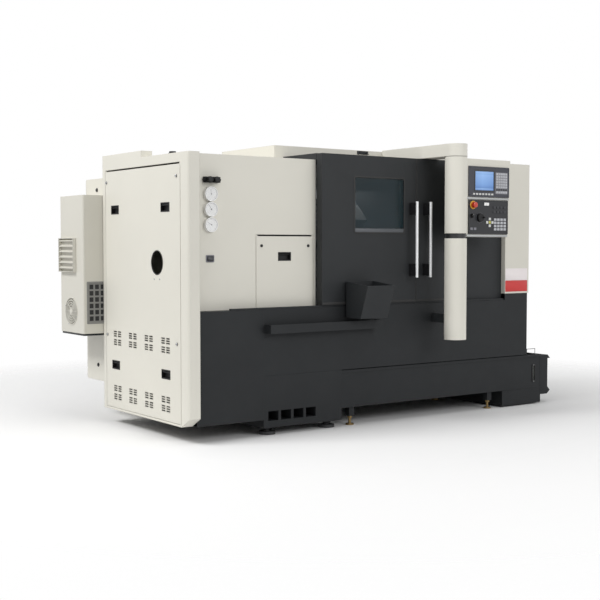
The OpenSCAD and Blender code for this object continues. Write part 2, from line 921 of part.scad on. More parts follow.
module access_panel() {
    color(cream) datum() difference() {
        block(access_face[0], access_face[1], cover_y, cover_y + sheet, access_face[2], access_face[3]);
        block(access_grip_x - access_grip_w / 2, access_grip_x + access_grip_w / 2, cover_y - 1,
              cover_y + sheet + 1, access_grip_z - access_grip_h / 2, access_grip_z + access_grip_h / 2);
        for (x = [access_x0 + access_screw_inset, access_x0 + access_w - access_screw_inset])
            rod_y(x, access_screw_z, screw_hole_r, cover_y - 1, cover_y + sheet + 1);
    }
}

// A recessed grip that looks along -X, with its flange on the plane of its origin
module grip_cup(w, h) {
    cup_y = w / 2 - grip_play;
    cup_z = h / 2 - grip_play;
    difference() {
        union() {
            block(-grip_rim_t, 0, -w / 2 - grip_flange, w / 2 + grip_flange,
                  -h / 2 - grip_flange, h / 2 + grip_flange);
            block(-1, grip_depth, -cup_y, cup_y, -cup_z, cup_z);
        }
        block(-grip_rim_t - 1, grip_depth - grip_wall, -cup_y + grip_wall, cup_y - grip_wall,
              -cup_z + grip_wall, cup_z - grip_wall);
    }
}

module panel_grips() {
    color(black) datum() {
        for (y = grip_cols, z = grip_rows) translate([0, y, z]) grip_cup(grip_w, grip_h);
        translate([access_grip_x, cover_y, access_grip_z]) rotate([0, 0, 90])
            grip_cup(access_grip_w, access_grip_h);
    }
}

// A screw whose head lies on the plane of its origin and looks along -X
module panel_screw() {
    rotate([0, 90, 0]) cylinder(r = screw_r, h = sheet);
    translate([-screw_head_t, 0, 0]) rotate([0, 90, 0]) cylinder(r = screw_head_r, h = screw_head_t);
}

module panel_screws() {
    color(steel) datum() {
        for (y = screw_cols, z = screw_rows) translate([0, y, z]) panel_screw();
        for (x = [access_x0 + access_screw_inset, access_x0 + access_w - access_screw_inset])
            translate([x, cover_y, access_screw_z]) rotate([0, 0, 90]) panel_screw();
    }
}

module pressure_gauges() {
    color(white) datum() for (i = [0 : 2]) difference() {
        rod_y(gauge_x, gauge_z - i * gauge_pitch, gauge_r, cover_y - gauge_t, cover_y);
        rod_y(gauge_x, gauge_z - i * gauge_pitch, gauge_r - gauge_rim, cover_y - gauge_t - 1,
              cover_y - gauge_t + gauge_recess);
    }
}

module regulator_body() {
    color(black) datum() difference() {
        block(reg_x0, reg_x1, cover_y - reg_t, cover_y, reg_z - reg_h / 2, reg_z + reg_h / 2);
        for (x = reg_knob_x)
            rod_y(x, reg_z, reg_stem_r + run_gap, cover_y - reg_t - 1, cover_y - reg_t + reg_stem_len + 1);
    }
}

module regulator_knob(x) {
    knob_back = cover_y - reg_t - slide_gap;
    color(black) datum() {
        rod_y(x, reg_z, reg_knob_r, knob_back - reg_knob_len, knob_back);
        rod_y(x, reg_z, reg_stem_r, knob_back - 1, cover_y - reg_t + reg_stem_len);
    }
}

module regulator_knob_left() {
    regulator_knob(reg_knob_x[0]);
}

module regulator_knob_right() {
    regulator_knob(reg_knob_x[1]);
}

// Side outline of the end cabinet, moved inward by e
module end_profile(e) {
    polygon([
        [e, skirt_z + end_chamfer_h + e / 2],
        [end_chamfer_d + e / 2, skirt_z + e],
        [body_depth - e, skirt_z + e],
        [body_depth - e, body_top - e],
        [end_raise_y + e, body_top - e],
        [end_raise_y + e, cover_top - e],
        [e, cover_top - e]
    ]);
}

// What a round upright edge at the left front corner x, y leaves out; c is the distance of its centre
module upright_edge(x, y, c, r, z0, z1) {
    difference() {
        block(x - 1, x + c, y - 1, y + c, z0 - 1, z1 + 1);
        rod_z(x + c, y + c, r, z0 - 2, z1 + 2);
    }
}

module end_cabinet() {
    color(cream) datum() difference() {
        along_x(0, end_t) end_profile(0);
        difference() {
            along_x(2 * sheet, end_t + 1) end_profile(sheet);
            upright_edge(0, 0, end_corner, end_corner - sheet, skirt_z, body_top);
        }
        block(-1, sheet, panel_front, panel_y1, panel_z0, panel_z1);
        block(0, 2 * sheet + 1, panel_front + panel_lip, panel_y1 - panel_lip,
              panel_z0 + panel_lip, panel_z1);
        upright_edge(0, 0, end_corner, end_corner, skirt_z, body_top);
    }
}

// One cluster of vent slots, two columns of two groups
module vent_cluster(y, z) {
    group_h = vent_slots * vent_pitch_z;
    for (side = [-1, 1], half = [-1, 1], i = [0 : vent_slots - 1])
        translate([-1, y + side * (vent_slot + vent_col_gap) / 2 - vent_slot / 2,
                   z + half * (group_h + vent_group_gap) / 2 - group_h / 2 + i * vent_pitch_z])
            cube([sheet + 2, vent_slot, vent_slot_h]);
}

module end_cover_panel() {
    color(cream) datum() difference() {
        block(0, sheet, panel_face[0], panel_face[1], panel_face[2], panel_face[3]);
        rod_x(spindle_y, spindle_z, bar_hole_r, -1, sheet + 1);
        for (y = grip_cols, z = grip_rows)
            block(-1, sheet + 1, y - grip_w / 2, y + grip_w / 2, z - grip_h / 2, z + grip_h / 2);
        for (y = screw_cols, z = screw_rows) rod_x(y, z, screw_hole_r, -1, sheet + 1);
        for (i = [0 : vent_cols - 1], z = vent_rows) vent_cluster(vent_first_y + i * vent_pitch_y, z);
    }
}

module roof_cover() {
    color(cream) datum() difference() {
        block(roof_x0, right_x0, roof_y0, body_depth, cover_top, roof_top);
        block(roof_x0 + sheet, right_x0 - sheet, roof_y0 + sheet, body_depth - sheet,
              cover_top - 1, roof_top - sheet);
    }
}

module door_header() {
    color(dark) datum() difference() {
        block(door_x0, right_x0, header_y0, roof_y0, cover_top, body_top);
        block(door_x0 + sheet, right_x0 - sheet, header_y0 + sheet, roof_y0 - sheet,
              cover_top - 1, body_top - sheet);
    }
}

module lower_door_rail() {
    color(dark) datum()
        block(door_rail_x0, right_x0 - door_rail_end, rail_y0, rail_y0 + rail_depth, ledge_z, door_rail_top);
}

module recessed_panel() {
    color(dark) datum() block(door_x1 - recess_lap, right_x0, recess_y, recess_y + sheet, ledge_z, leaf_top);
}

module right_cover() {
    color(cream) datum() difference() {
        block(right_x0, body_len, front_y, body_depth, right_z0, body_top);
        block(right_x0 + sheet, body_len - sheet, apron_back, body_depth - sheet,
              right_z0 - 1, body_top - sheet);
    }
}

module rear_cover() {
    color(cream) datum() {
        block(end_t, right_x0, base_y1, body_depth, rear_z0, cover_top);
        for (i = [0 : hatch_count - 1])
            translate([hatch_x0 + i * (hatch_w + hatch_gap), body_depth - 1, hatch_z0])
                cube([hatch_w, hatch_t + 1, hatch_h]);
    }
}

// A door leaf: folded tray with its open side to the back
module leaf_tray(x0, x1, t) {
    difference() {
        block(x0, x1, front_y, front_y + t, leaf_z0, leaf_top);
        block(x0 + sheet, x1 - sheet, front_y + sheet, front_y + t + 1, leaf_z0 + sheet, leaf_top - sheet);
    }
}

module left_door_leaf() {
    window_x1 = window_x0 + window_w;
    window_z1 = window_z0 + window_h;
    rim = frame_lap + sheet;
    color(dark) datum() difference() {
        union() {
            leaf_tray(door_x0, door_split - leaf_gap / 2, left_leaf_t);
            block(window_x0 - rim, window_x1 + rim, apron_back - 1, left_leaf_back,
                  window_z0 - rim, window_z1 + rim);
        }
        rounded_block(window_x0, window_x1, front_y - 1, left_leaf_back + 1,
                      window_z0, window_z1, window_corner);
        block(window_x0 - frame_lap, window_x1 + frame_lap, apron_back, left_leaf_back + 1,
              window_z0 - frame_lap, window_z1 + frame_lap);
    }
}

module left_door_window() {
    color([0.35, 0.42, 0.45, 0.5]) datum()
        block(window_x0 - pane_lap, window_x0 + window_w + pane_lap, apron_back, apron_back + pane_t,
              window_z0 - pane_lap, window_z0 + window_h + pane_lap);
}

module right_door_leaf() {
    color(dark) datum() leaf_tray(door_split + leaf_gap / 2, door_x1, right_leaf_t);
}

module handle_bar(x) {
    color(white) datum() rod_z(x, handle_y, handle_r, handle_z0, handle_z0 + handle_len);
}

module handle_brackets(x) {
    color(black) datum() difference() {
        for (z = [bracket_inset, bracket_upper])
            translate([x - bracket_w / 2, handle_y, handle_z0 + z])
                cube([bracket_w, handle_reach, bracket_h]);
        rod_z(x, handle_y, handle_r + seat_gap, handle_z0, handle_z0 + handle_len);
    }
}

module left_door_handle() {
    handle_bar(left_handle_x);
}

module right_door_handle() {
    handle_bar(right_handle_x);
}

module left_handle_brackets() {
    handle_brackets(left_handle_x);
}

module right_handle_brackets() {
    handle_brackets(right_handle_x);
}

module overhead_arm() {
    color(cream) datum() {
        block(column_x - column_r, column_x + column_r, column_y, roof_y0, arm_z0, arm_z0 + arm_h);
        rod_z(column_x, column_y, column_r, arm_z0, arm_z0 + arm_h);
        rod_z(column_x, column_y, pivot_r, arm_z0 - pivot_len, arm_z0 + 1);
    }
}

module upper_column() {
    color(cream) datum() difference() {
        rod_z(column_x, column_y, column_r, column_split, upper_top);
        rod_z(column_x, column_y, pivot_r + run_gap, arm_z0 - pivot_len - 5, upper_top + 1);
    }
}

module lower_column() {
    color(cream) datum() {
        rod_z(column_x, column_y, column_r, column_z0, column_split - neck_h);
        rod_z(column_x, column_y, neck_r, column_split - neck_h - 1, column_split - slide_gap);
    }
}

module column_bracket() {
    stay_x = column_x + column_r - stay_inset;
    color(dark) datum() difference() {
        block(stay_x - stay_w, stay_x, column_y + stay_setback, front_y, stay_z0, stay_z0 + stay_h);
        rod_z(column_x, column_y, column_r + seat_gap, stay_z0 - 1, stay_z0 + stay_h + 1);
    }
}

module control_box() {
    color(cream) datum() difference() {
        block(box_x0, box_x1, box_front, box_back, box_z0, box_z1);
        rod_z(column_x, column_y, column_r + seat_gap, box_z0 - 1, box_z1 + 1);
        rod_y(estop_x, estop_z, estop_stem_r + 2, box_front - 1, box_front + estop_travel + 2);
    }
}

module display_unit() {
    color(black) datum() difference() {
        block(display_x0, display_x0 + display_w, box_front - display_t, box_front,
              display_z0, display_z0 + display_h);
        block(screen_x0, screen_x0 + screen_w, box_front - display_t - 1,
              box_front - display_t + screen_t + 1, screen_z0, screen_z0 + screen_h);
    }
}

module display_screen() {
    color([0.55, 0.72, 0.90]) datum()
        block(screen_x0 + seat_gap, screen_x0 + screen_w - seat_gap, box_front - display_t + 1,
              box_front - display_t + screen_t + 1, screen_z0 + seat_gap, screen_z0 + screen_h - seat_gap);
}

// A field of keys that stand on the plane y, drawn from its lower left corner
module key_field(x, y, z, cols, rows, pitch_x, pitch_z, key_w, key_h) {
    for (i = [0 : cols - 1], j = [0 : rows - 1])
        translate([x + i * pitch_x, y - key_t, z + j * pitch_z]) cube([key_w, key_t, key_h]);
}

module panel_keys() {
    display_face = box_front - display_t;
    jog_x = display_x0 + jog_inset;
    jog_z = operator_z0 + jog_rise;
    color(white) datum() {
        key_field(display_x0 + soft_key_x, display_face, display_z0 + soft_key_z, 7, 1,
                  soft_key_pitch, 0, soft_key_w, soft_key_h);
        key_field(display_x0 + type_key_x, display_face, display_z0 + type_key_z, 5, 8,
                  type_key_pitch_x, type_key_pitch_z, type_key_w, type_key_h);
        key_field(display_x0 + axis_key_x, face_y, operator_z0 + axis_key_z, 4, 4,
                  axis_key_pitch_x, axis_key_pitch_z, axis_key_w, axis_key_h);
        key_field(display_x0 + lamp_key_x, face_y, operator_z0 + lamp_key_z, 2, 1,
                  lamp_key_pitch, 0, axis_key_w, axis_key_h);
        key_field(display_x0 + cycle_key_x, face_y, operator_z0 + cycle_key_z, 2, 1,
                  cycle_key_w + cycle_key_gap, 0, cycle_key_w, cycle_key_h);
        key_field(display_x0 + mode_key_x, face_y, operator_z0 + mode_key_z, 4, 2,
                  mode_key_pitch_x, mode_key_pitch_z, mode_key_w, mode_key_h);
        for (p = [[0, 0], [-1, 0], [1, 0], [0, -1], [0, 1]])
            translate([jog_x + p[0] * jog_step_x - jog_w / 2, face_y - key_t,
                       jog_z + p[1] * jog_step_z - jog_h / 2])
                cube([jog_w, key_t, jog_h]);
    }
}

module operator_panel() {
    color(black) datum() difference() {
        block(display_x0, display_x0 + operator_w, face_y, box_front, operator_z0, operator_z0 + operator_h);
        rod_y(estop_x, estop_z, estop_stem_r + run_gap, face_y - 1, box_front + 1);
        rod_y(knob_x, knob_z, stem_r + run_gap, face_y - 1, box_front + 1);
        rod_y(dial_x, dial_z, stem_r + run_gap, face_y - 1, box_front + 1);
    }
}

module estop_button() {
    color([0.80, 0.16, 0.08]) datum() {
        rod_y(estop_x, estop_z, estop_stem_r, face_y - estop_gap - 1, box_front);
        rod_y(estop_x, estop_z, estop_r, face_y - estop_gap - estop_head_t, face_y - estop_gap);
    }
}

module override_knob() {
    color(black) datum() {
        rod_y(knob_x, knob_z, stem_r, face_y - 1, face_y + stem_len);
        rod_y(knob_x, knob_z, knob_r, face_y - slide_gap - 3, face_y - slide_gap);
        block(knob_x - 4, knob_x + 4, face_y - slide_gap - knob_len, face_y - slide_gap - 2,
              knob_z - knob_r + 1, knob_z + knob_r - 1);
    }
}

module hand_dial() {
    dial_face = face_y - slide_gap - dial_len;
    color(dark) datum() {
        rod_y(dial_x, dial_z, stem_r, face_y - 1, face_y + stem_len);
        rod_y(dial_x, dial_z, dial_r, dial_face, face_y - slide_gap);
        rod_y(dial_x + dial_r - dial_pin_inset, dial_z, dial_pin_r, dial_face - dial_pin_len, dial_face + 1);
    }
}

module coolant_tank() {
    color(dark) datum() {
        difference() {
            union() {
                block(tank_x0, tank_x1, tank_y0, tank_y1, tank_z0, tank_top);
                block(sump_x0, tank_x1, tank_y0, tank_y1, sump_z0, tank_z0 + 1);
            }
            block(tank_x0 + tank_wall, tank_x1 - tank_wall, tank_y0 + tank_wall, tank_y1 - tank_wall,
                  tank_z0 + tank_wall, tank_top + 1);
            block(sump_x0 + tank_wall, tank_x1 - tank_wall, tank_y0 + tank_wall, tank_y1 - tank_wall,
                  sump_z0 + tank_wall, tank_z0 + tank_wall + 1);
            block(gauge_slot_x, gauge_slot_x + gauge_slot_w, tank_y0 - 1, tank_y0 + tank_wall / 2,
                  gauge_slot_z0, gauge_slot_z0 + gauge_slot_h);
        }
        translate([0, tank_y1 - 10, 0]) rotate([90, 0, 0]) linear_extrude(tank_y1 - 10 - flange_y0) polygon([
            [tank_x1 - 1, flange_z0], [flange_x1 - tank_wall, flange_z0],
            [flange_x1 + flange_lip, flange_z0 + flange_lip], [flange_x1, flange_z0 + 2 * flange_lip],
            [flange_x1, flange_z1 - flange_lip], [flange_x1 + flange_lip, flange_z1 - flange_lip],
            [flange_x1, flange_z1], [tank_x1 - 1, flange_z1]
        ]);
        block(tank_x0, tank_x1, tank_y0 - rim_t, tank_y0 + 1, tank_top - rim_h, tank_top);
        for (x = tank_foot_xs, y = tank_foot_ys)
            translate([x - tank_leg_w / 2, y - tank_leg_w / 2, tank_leg_z])
                cube([tank_leg_w, tank_leg_w, tank_z0 + 1 - tank_leg_z]);
        for (x = [wire_x0, wire_x0 + wire_w])
            rod_z(x, tank_y0 + tank_wall / 2, wire_r / 2, tank_top - 1, tank_top + wire_h);
        rod_x(tank_y0 + tank_wall / 2, tank_top + wire_h, wire_r / 2,
              wire_x0 - wire_r / 2, wire_x0 + wire_w + wire_r / 2);
    }
}

module tank_feet() {
    color(brass) datum() for (x = tank_foot_xs, y = tank_foot_ys) translate([x, y, 0]) {
        cylinder(r = tank_foot_r, h = tank_foot_pad);
        cylinder(r = tank_stud_r, h = tank_leg_z);
        translate([0, 0, tank_leg_z - tank_nut_h]) cylinder(r = tank_nut_r, h = tank_nut_h, $fn = 6);
    }
}

module electrical_cabinet() {
    color(cream) datum() {
        difference() {
            block(cabinet_x0, cabinet_x1, cabinet_y0, cabinet_y1, cabinet_z0, cabinet_z1);
            block(cabinet_x0 + sheet, cabinet_x1 - sheet, cabinet_y0 + sheet, cabinet_y1 + 1,
                  cabinet_z0 + sheet, cabinet_z1 - sheet);
        }
        for (i = [0 : module_count - 1])
            translate([module_x0 + i * module_pitch, cabinet_y0 + sheet, cabinet_z0 + cabinet_h / 2])
                cube([module_w, module_d, module_h]);
        for (z = hinge_zs) {
            block(cabinet_x1 - 1, cabinet_x1 + leaf_t, cabinet_y1 - hinge_leaf, hinge_y, z - seat_len, z - 1);
            rod_z(hinge_x, hinge_y, knuckle_r, z - seat_len, z - 1);
            rod_z(hinge_x, hinge_y, hinge_pin_r, z - 2, z + knuckle_len);
        }
    }
}

module electrical_door() {
    door_y0 = cabinet_y1 + slide_gap;
    color(cream) datum() difference() {
        union() {
            block(cabinet_x0 + door_inset, cabinet_x1 - door_inset, door_y0, door_y0 + door_t,
                  cabinet_z0 + door_inset, cabinet_z1 - door_inset);
            for (z = hinge_zs) {
                rod_z(hinge_x, hinge_y, knuckle_r, z - 1 + slide_gap, z + knuckle_len);
                block(cabinet_x1 - door_inset - 1, hinge_x, hinge_y - leaf_t / 2, hinge_y + leaf_t / 2,
                      z - 1 + slide_gap, z + knuckle_len);
            }
        }
        block(cabinet_x0 + door_inset + sheet, cabinet_x1 - door_inset - sheet - 10, door_y0 - 1,
              door_y0 + door_t - sheet, cabinet_z0 + door_inset + sheet, cabinet_z1 - door_inset - sheet);
        for (z = hinge_zs)
            rod_z(hinge_x, hinge_y, hinge_pin_r + run_gap, z - 2, z + knuckle_len + 1);
    }
}

module cooling_housing() {
    color(cream) datum() {
        difference() {
            block(cooler_x0, cabinet_x0, cooler_y0, cooler_y1, cooler_z0, cooler_z1);
            rod_x(fan_y, fan_z, fan_r - fan_lap, cooler_x0 - 1, cooler_x0 + fan_recess);
            block(filter_x0, filter_x1, cooler_y0 - 1, cooler_y0 + filter_t, filter_z0, filter_z0 + filter_h);
            upright_edge(cooler_x0, cooler_y0, cooler_corner, cooler_corner, cooler_z0, cooler_z1);
        }
        rod_x(fan_y, fan_z, fan_pin_r, fan_x0 + fan_cap + 1, cooler_x0 + fan_recess + 1);
    }
}

module cooling_hood() {
    slat_pitch = (hood_h - 2 * hood_wall) / hood_slats;
    color(cream) datum() {
        difference() {
            block(cooler_x0 - hood_t, cooler_x0, hood_y0, hood_y1, hood_z0, hood_z0 + hood_h);
            block(cooler_x0 - hood_t - 1, cooler_x0 - 2, hood_y0 + hood_wall, hood_y1 - hood_wall,
                  hood_z0 + hood_wall, hood_z0 + hood_h - hood_wall);
        }
        for (i = [0 : hood_slats - 1])
            translate([cooler_x0 - 1, hood_y0 + 1, hood_z0 + hood_wall + (i + 0.9) * slat_pitch])
                rotate([0, -slat_tilt, 0])
                    translate([-(hood_t - 3) / cos(slat_tilt), 0, 0])
                        cube([(hood_t - 3) / cos(slat_tilt), hood_y1 - hood_y0 - 2, slat_t]);
    }
}

module cooling_filter() {
    pitch_x = (filter_x1 - filter_x0 - filter_bar) / filter_cols;
    pitch_z = (filter_h - filter_bar) / filter_rows;
    color(black) datum() difference() {
        block(filter_x0 + seat_gap, filter_x1 - seat_gap, cooler_y0 + 1, cooler_y0 + filter_t,
              filter_z0 + seat_gap, filter_z0 + filter_h - seat_gap);
        for (i = [0 : filter_cols - 1], j = [0 : filter_rows - 1])
            translate([filter_x0 + filter_bar + i * pitch_x, cooler_y0, filter_z0 + filter_bar + j * pitch_z])
                cube([pitch_x - filter_bar, filter_t / 2, pitch_z - filter_bar]);
    }
}

module fan_guard() {
    ring_pitch = (fan_r - guard_hub) / guard_rings;
    color(cream) datum() translate([cooler_x0, fan_y, fan_z]) {
        for (i = [1 : guard_rings]) rotate([0, -90, 0]) difference() {
            cylinder(r = guard_hub + i * ring_pitch, h = guard_wire);
            translate([0, 0, -1]) cylinder(r = guard_hub + i * ring_pitch - guard_ring, h = guard_wire + 2);
        }
        rotate([0, -90, 0]) cylinder(r = guard_hub + 6, h = guard_wire);
        for (a = [0 : 45 : 315]) rotate([a, 0, 0])
            block(1 - guard_wire, -1, -guard_wire / 2, guard_wire / 2,
                  guard_hub + guard_wire, fan_r - guard_ring / 2);
    }
}

// One blade, a strip of a tube that bows along its width
module fan_blade(reach) {
    translate([-blade_bow, 0, 0]) intersection() {
        difference() {
            cylinder(r = blade_bow + blade_t / 2, h = reach);
            translate([0, 0, -1]) cylinder(r = blade_bow - blade_t / 2, h = reach + 2);
        }
        block(0, blade_bow + blade_t, -blade_w / 2, blade_w / 2, -1, reach + 1);
    }
}

module cooling_fan() {
    blade_len = fan_r - fan_lap - fan_tip_gap - fan_hub_r;
    color(dark) datum() translate([fan_x0, fan_y, fan_z]) difference() {
        union() {
            rotate([0, 90, 0]) cylinder(r = fan_hub_r, h = fan_hub_len);
            for (i = [0 : fan_blades - 1]) rotate([i * 360 / fan_blades, 0, 0])
                translate([fan_hub_len / 2, 0, fan_hub_r - blade_root]) rotate([0, 0, blade_tilt])
                    fan_blade(blade_len + blade_root);
        }
        translate([fan_cap, 0, 0]) rotate([0, 90, 0]) cylinder(r = fan_pin_r + run_gap, h = fan_hub_len);
    }
}

machine_base();
levelling_feet();
slant_bed();
guide_rails();
headstock();
front_apron();
lower_left_cover();
parts_bin();
front_left_cover();
access_panel();
panel_grips();
panel_screws();
pressure_gauges();
regulator_body();
end_cabinet();
end_cover_panel();
roof_cover();
door_header();
lower_door_rail();
recessed_panel();
right_cover();
rear_cover();
chamber_walls();
electrical_cabinet();
cooling_housing();
cooling_hood();
cooling_filter();
fan_guard();
overhead_arm();
lower_column();
column_bracket();
left_door_leaf();
left_door_window();
left_door_handle();
left_handle_brackets();
right_door_leaf();
right_door_handle();
right_handle_brackets();
upper_column();
control_box();
display_unit();
display_screen();
panel_keys();
operator_panel();
estop_button();
override_knob();
hand_dial();
main_spindle();
main_chuck();
sub_headstock();
sub_spindle();
turret_saddle();
turret_slide();
turret_disc();
coolant_tank();
tank_feet();
regulator_knob_left();
regulator_knob_right();
cooling_fan();
electrical_door();
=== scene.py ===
from contextlib import contextmanager
from itertools import product
from math import cos, pi, radians, sin, sqrt

import bmesh
import bpy
from mathutils import Matrix, Vector


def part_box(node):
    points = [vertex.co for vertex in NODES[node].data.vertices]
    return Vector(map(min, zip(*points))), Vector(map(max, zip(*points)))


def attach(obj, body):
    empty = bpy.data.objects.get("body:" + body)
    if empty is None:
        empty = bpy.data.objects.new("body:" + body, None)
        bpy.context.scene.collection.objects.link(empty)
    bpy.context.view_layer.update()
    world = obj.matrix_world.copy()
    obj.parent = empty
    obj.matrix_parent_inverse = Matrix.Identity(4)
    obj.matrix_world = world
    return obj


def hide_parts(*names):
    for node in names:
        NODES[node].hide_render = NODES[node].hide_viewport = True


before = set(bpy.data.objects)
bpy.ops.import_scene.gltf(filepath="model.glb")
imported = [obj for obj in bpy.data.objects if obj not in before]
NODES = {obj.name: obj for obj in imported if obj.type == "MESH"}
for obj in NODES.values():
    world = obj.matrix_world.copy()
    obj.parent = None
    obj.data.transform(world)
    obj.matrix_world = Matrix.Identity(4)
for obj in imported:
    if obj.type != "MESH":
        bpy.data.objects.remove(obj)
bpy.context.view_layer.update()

# Places are in millimetres in the part's frame: -Y is the front and -X the left end.
MM = 0.001
LEFT, RIGHT = (-1, 0, 0), (1, 0, 0)
FRONT, BACK = (0, -1, 0), (0, 1, 0)
DOWN, UP = (0, 0, -1), (0, 0, 1)
SINK = 0.1  # how far flat trim reaches into the face that carries it


# Boxes measured on the CAD

class Span:
    """A box in millimetres."""

    def __init__(self, lo, hi):
        self.lo, self.hi = lo, hi
        self.x0, self.y0, self.z0 = lo
        self.x1, self.y1, self.z1 = hi
        self.cx, self.cy, self.cz = ((a + b) / 2 for a, b in zip(lo, hi))
        self.w, self.d, self.h = (b - a for a, b in zip(lo, hi))
        self.face = (self.x0, self.x1, self.z0, self.z1)
        self.end = (self.y0, self.y1, self.z0, self.z1)


def span(node):
    """The box of a CAD node at rest."""
    lo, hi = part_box(node)
    return Span([v / MM for v in lo], [v / MM for v in hi])


def around(lows, highs):
    """The box round the given low and high corners."""
    return Span([min(axis) for axis in zip(*lows)], [max(axis) for axis in zip(*highs)])


def union(spans):
    """The box round several boxes."""
    return around([s.lo for s in spans], [s.hi for s in spans])


def joined_mesh(node):
    """A CAD node's mesh in the part's frame, with corners that coincide joined."""
    bm = bmesh.new()
    bm.from_mesh(NODES[node].data)
    bm.transform(NODES[node].matrix_world)
    bmesh.ops.remove_doubles(bm, verts=bm.verts, dist=1e-5)
    return bm


def grouped_boxes(edges):
    """The box of each group of edges that hang together."""
    links = {}
    for edge in edges:
        a, b = edge.verts
        links.setdefault(a, []).append(b)
        links.setdefault(b, []).append(a)
    left_over = set(links)
    boxes = []
    while left_over:
        queue = [left_over.pop()]
        group = []
        while queue:
            vert = queue.pop()
            group.append(vert.co / MM)
            for other in links[vert]:
                if other in left_over:
                    left_over.discard(other)
                    queue.append(other)
        boxes.append(around(group, group))
    return boxes


def islands(node):
    """The box of each separate solid of a CAD node, from the lowest up."""
    bm = joined_mesh(node)
    found = grouped_boxes(bm.edges)
    bm.free()
    return sorted(found, key=lambda s: (round(s.cz), round(s.cx), round(s.cy)))


def holes(node):
    """The box of each outline on the side of a sheet that looks along -X."""
    on_side, on_wall = -0.9, -0.1
    bm = joined_mesh(node)
    bm.normal_update()
    rims = []
    for edge in bm.edges:
        facing = [face.normal.x for face in edge.link_faces]
        if min(facing) < on_side and max(facing) > on_wall:
            rims.append(edge)
    found = grouped_boxes(rims)
    bm.free()
    return sorted(found, key=lambda s: (round(s.cz), round(s.cy)))


def pt(x, y, z):
    """A place in millimetres as a vector in metres."""
    return Vector((x * MM, y * MM, z * MM))


# Materials

class Shader:
    """Short calls to build the node tree of a material or of the world."""

    def __init__(self, owner, main):
        self.owner = owner
        owner.use_nodes = True
        self.tree = owner.node_tree
        self.main = self.tree.nodes[main]

    def feed(self, socket, value):
        """Links an output to a socket, or sets the socket's own value."""
        if isinstance(value, bpy.types.NodeSocket):
            self.tree.links.new(value, socket)
        elif socket.type == "RGBA":
            socket.default_value = (*value, 1.0)
        else:
            socket.default_value = value

    def add(self, kind, inputs=None, **settings):
        """A new node; inputs are by name or number."""
        node = self.tree.nodes.new("ShaderNode" + kind)
        for key, value in settings.items():
            setattr(node, key, value)
        for key, value in (inputs or {}).items():
            self.feed(node.inputs[key], value)
        return node

    def set(self, **inputs):
        """Feeds inputs of the main node."""
        for key, value in inputs.items():
            self.feed(self.main.inputs[key.replace("_", " ")], value)

    def coords(self):
        return self.add("TexCoord").outputs["Object"]

    def split(self, vector):
        return self.add("SeparateXYZ", {0: vector}).outputs

    def noise(self, vector, scale, detail=2.0, rough=0.5):
        inputs = {"Vector": vector, "Scale": scale, "Detail": detail, "Roughness": rough}
        return self.add("TexNoise", inputs).outputs["Fac"]

    def ramp(self, fac, stops):
        node = self.add("ValToRGB", {"Fac": fac})
        elements = node.color_ramp.elements
        while len(elements) < len(stops):
            elements.new(0.5)
        for element, (place, color) in zip(elements, stops):
            element.position = place
            element.color = (*color, 1.0)
        return node.outputs["Color"]

    def mottle(self, fac, color, less, more, margin=0.3):
        """A colour that goes from one brightness to another."""
        return self.ramp(fac, [(margin, tone(color, less)), (1.0 - margin, tone(color, more))])

    def spread(self, fac, low, high, a=0.0, b=1.0):
        """Maps the range from a to b onto low to high."""
        inputs = {"Value": fac, "From Min": a, "From Max": b, "To Min": low, "To Max": high}
        return self.add("MapRange", inputs).outputs["Result"]

    def math(self, op, a, b):
        return self.add("Math", {0: a, 1: b}, operation=op).outputs[0]

    def mix(self, fac, a, b, mode="MIX"):
        inputs = {0: fac, 6: a, 7: b}
        return self.add("Mix", inputs, data_type="RGBA", blend_type=mode).outputs[2]

    def bump(self, height, strength, distance, normal=None):
        inputs = {"Height": height, "Strength": strength, "Distance": distance}
        if normal is not None:
            inputs["Normal"] = normal
        self.set(Normal=self.add("Bump", inputs).outputs["Normal"])

    def soft_edges(self, radius):
        return self.add("Bevel", {"Radius": radius}, samples=6).outputs["Normal"]

    def edge_mask(self, bevel_normal):
        """1 on the edges that soft_edges rounds, 0 on flat faces."""
        flat = self.add("NewGeometry").outputs["Normal"]
        dot = self.add("VectorMath", {0: bevel_normal, 1: flat}, operation="DOT_PRODUCT")
        return self.spread(dot.outputs["Value"], 1.0, 0.0, 0.80, 0.995)


def surface(name):
    """The shader of a new material."""
    return Shader(bpy.data.materials.new(name), "Principled BSDF")


def tone(color, k):
    """A colour made darker or lighter."""
    return tuple(min(1.0, c * k) for c in color)


SMALL_EDGE = 0.0012  # radius in metres of the shaded edges of small parts


def paint(name, color, rough, *, grain, peel, spread, edge=None, radius=0.0025, low_darkening=0.0,
          gloss=0.5):
    """Powder coat: orange peel, slow changes of colour, worn edges and streaks darker near the
    floor.
    """
    n = surface(name)
    co = n.coords()
    base = n.mottle(n.noise(co, 1.7, 3.0, 0.55), color, 1.0 - spread, 1.0 + spread)
    bevel = n.soft_edges(radius)
    if edge is not None:
        chips = n.spread(n.noise(co, 26.0, 4.0, 0.7), 0.0, 0.75, 0.45, 0.75)
        base = n.mix(n.math("MULTIPLY", n.edge_mask(bevel), chips), base, edge)
    if low_darkening:
        # Darker towards the floor, broken into streaks.
        low = n.spread(n.split(co)["Z"], low_darkening, 0.0, 0.02, 0.55)
        streaks = n.spread(n.noise(co, 7.0, 4.0, 0.65), 0.2, 1.0, 0.3, 0.7)
        base = n.mix(n.math("MULTIPLY", low, streaks), base, tone(color, 0.55))
    sheen = n.spread(n.noise(co, 9.0, 3.0, 0.6), rough - 0.06, rough + 0.06, 0.25, 0.75)
    n.set(Base_Color=base, Roughness=sheen, Specular_IOR_Level=gloss)
    n.bump(n.noise(co, grain, 2.0, 0.6), peel, 0.0006, bevel)
    return n.owner


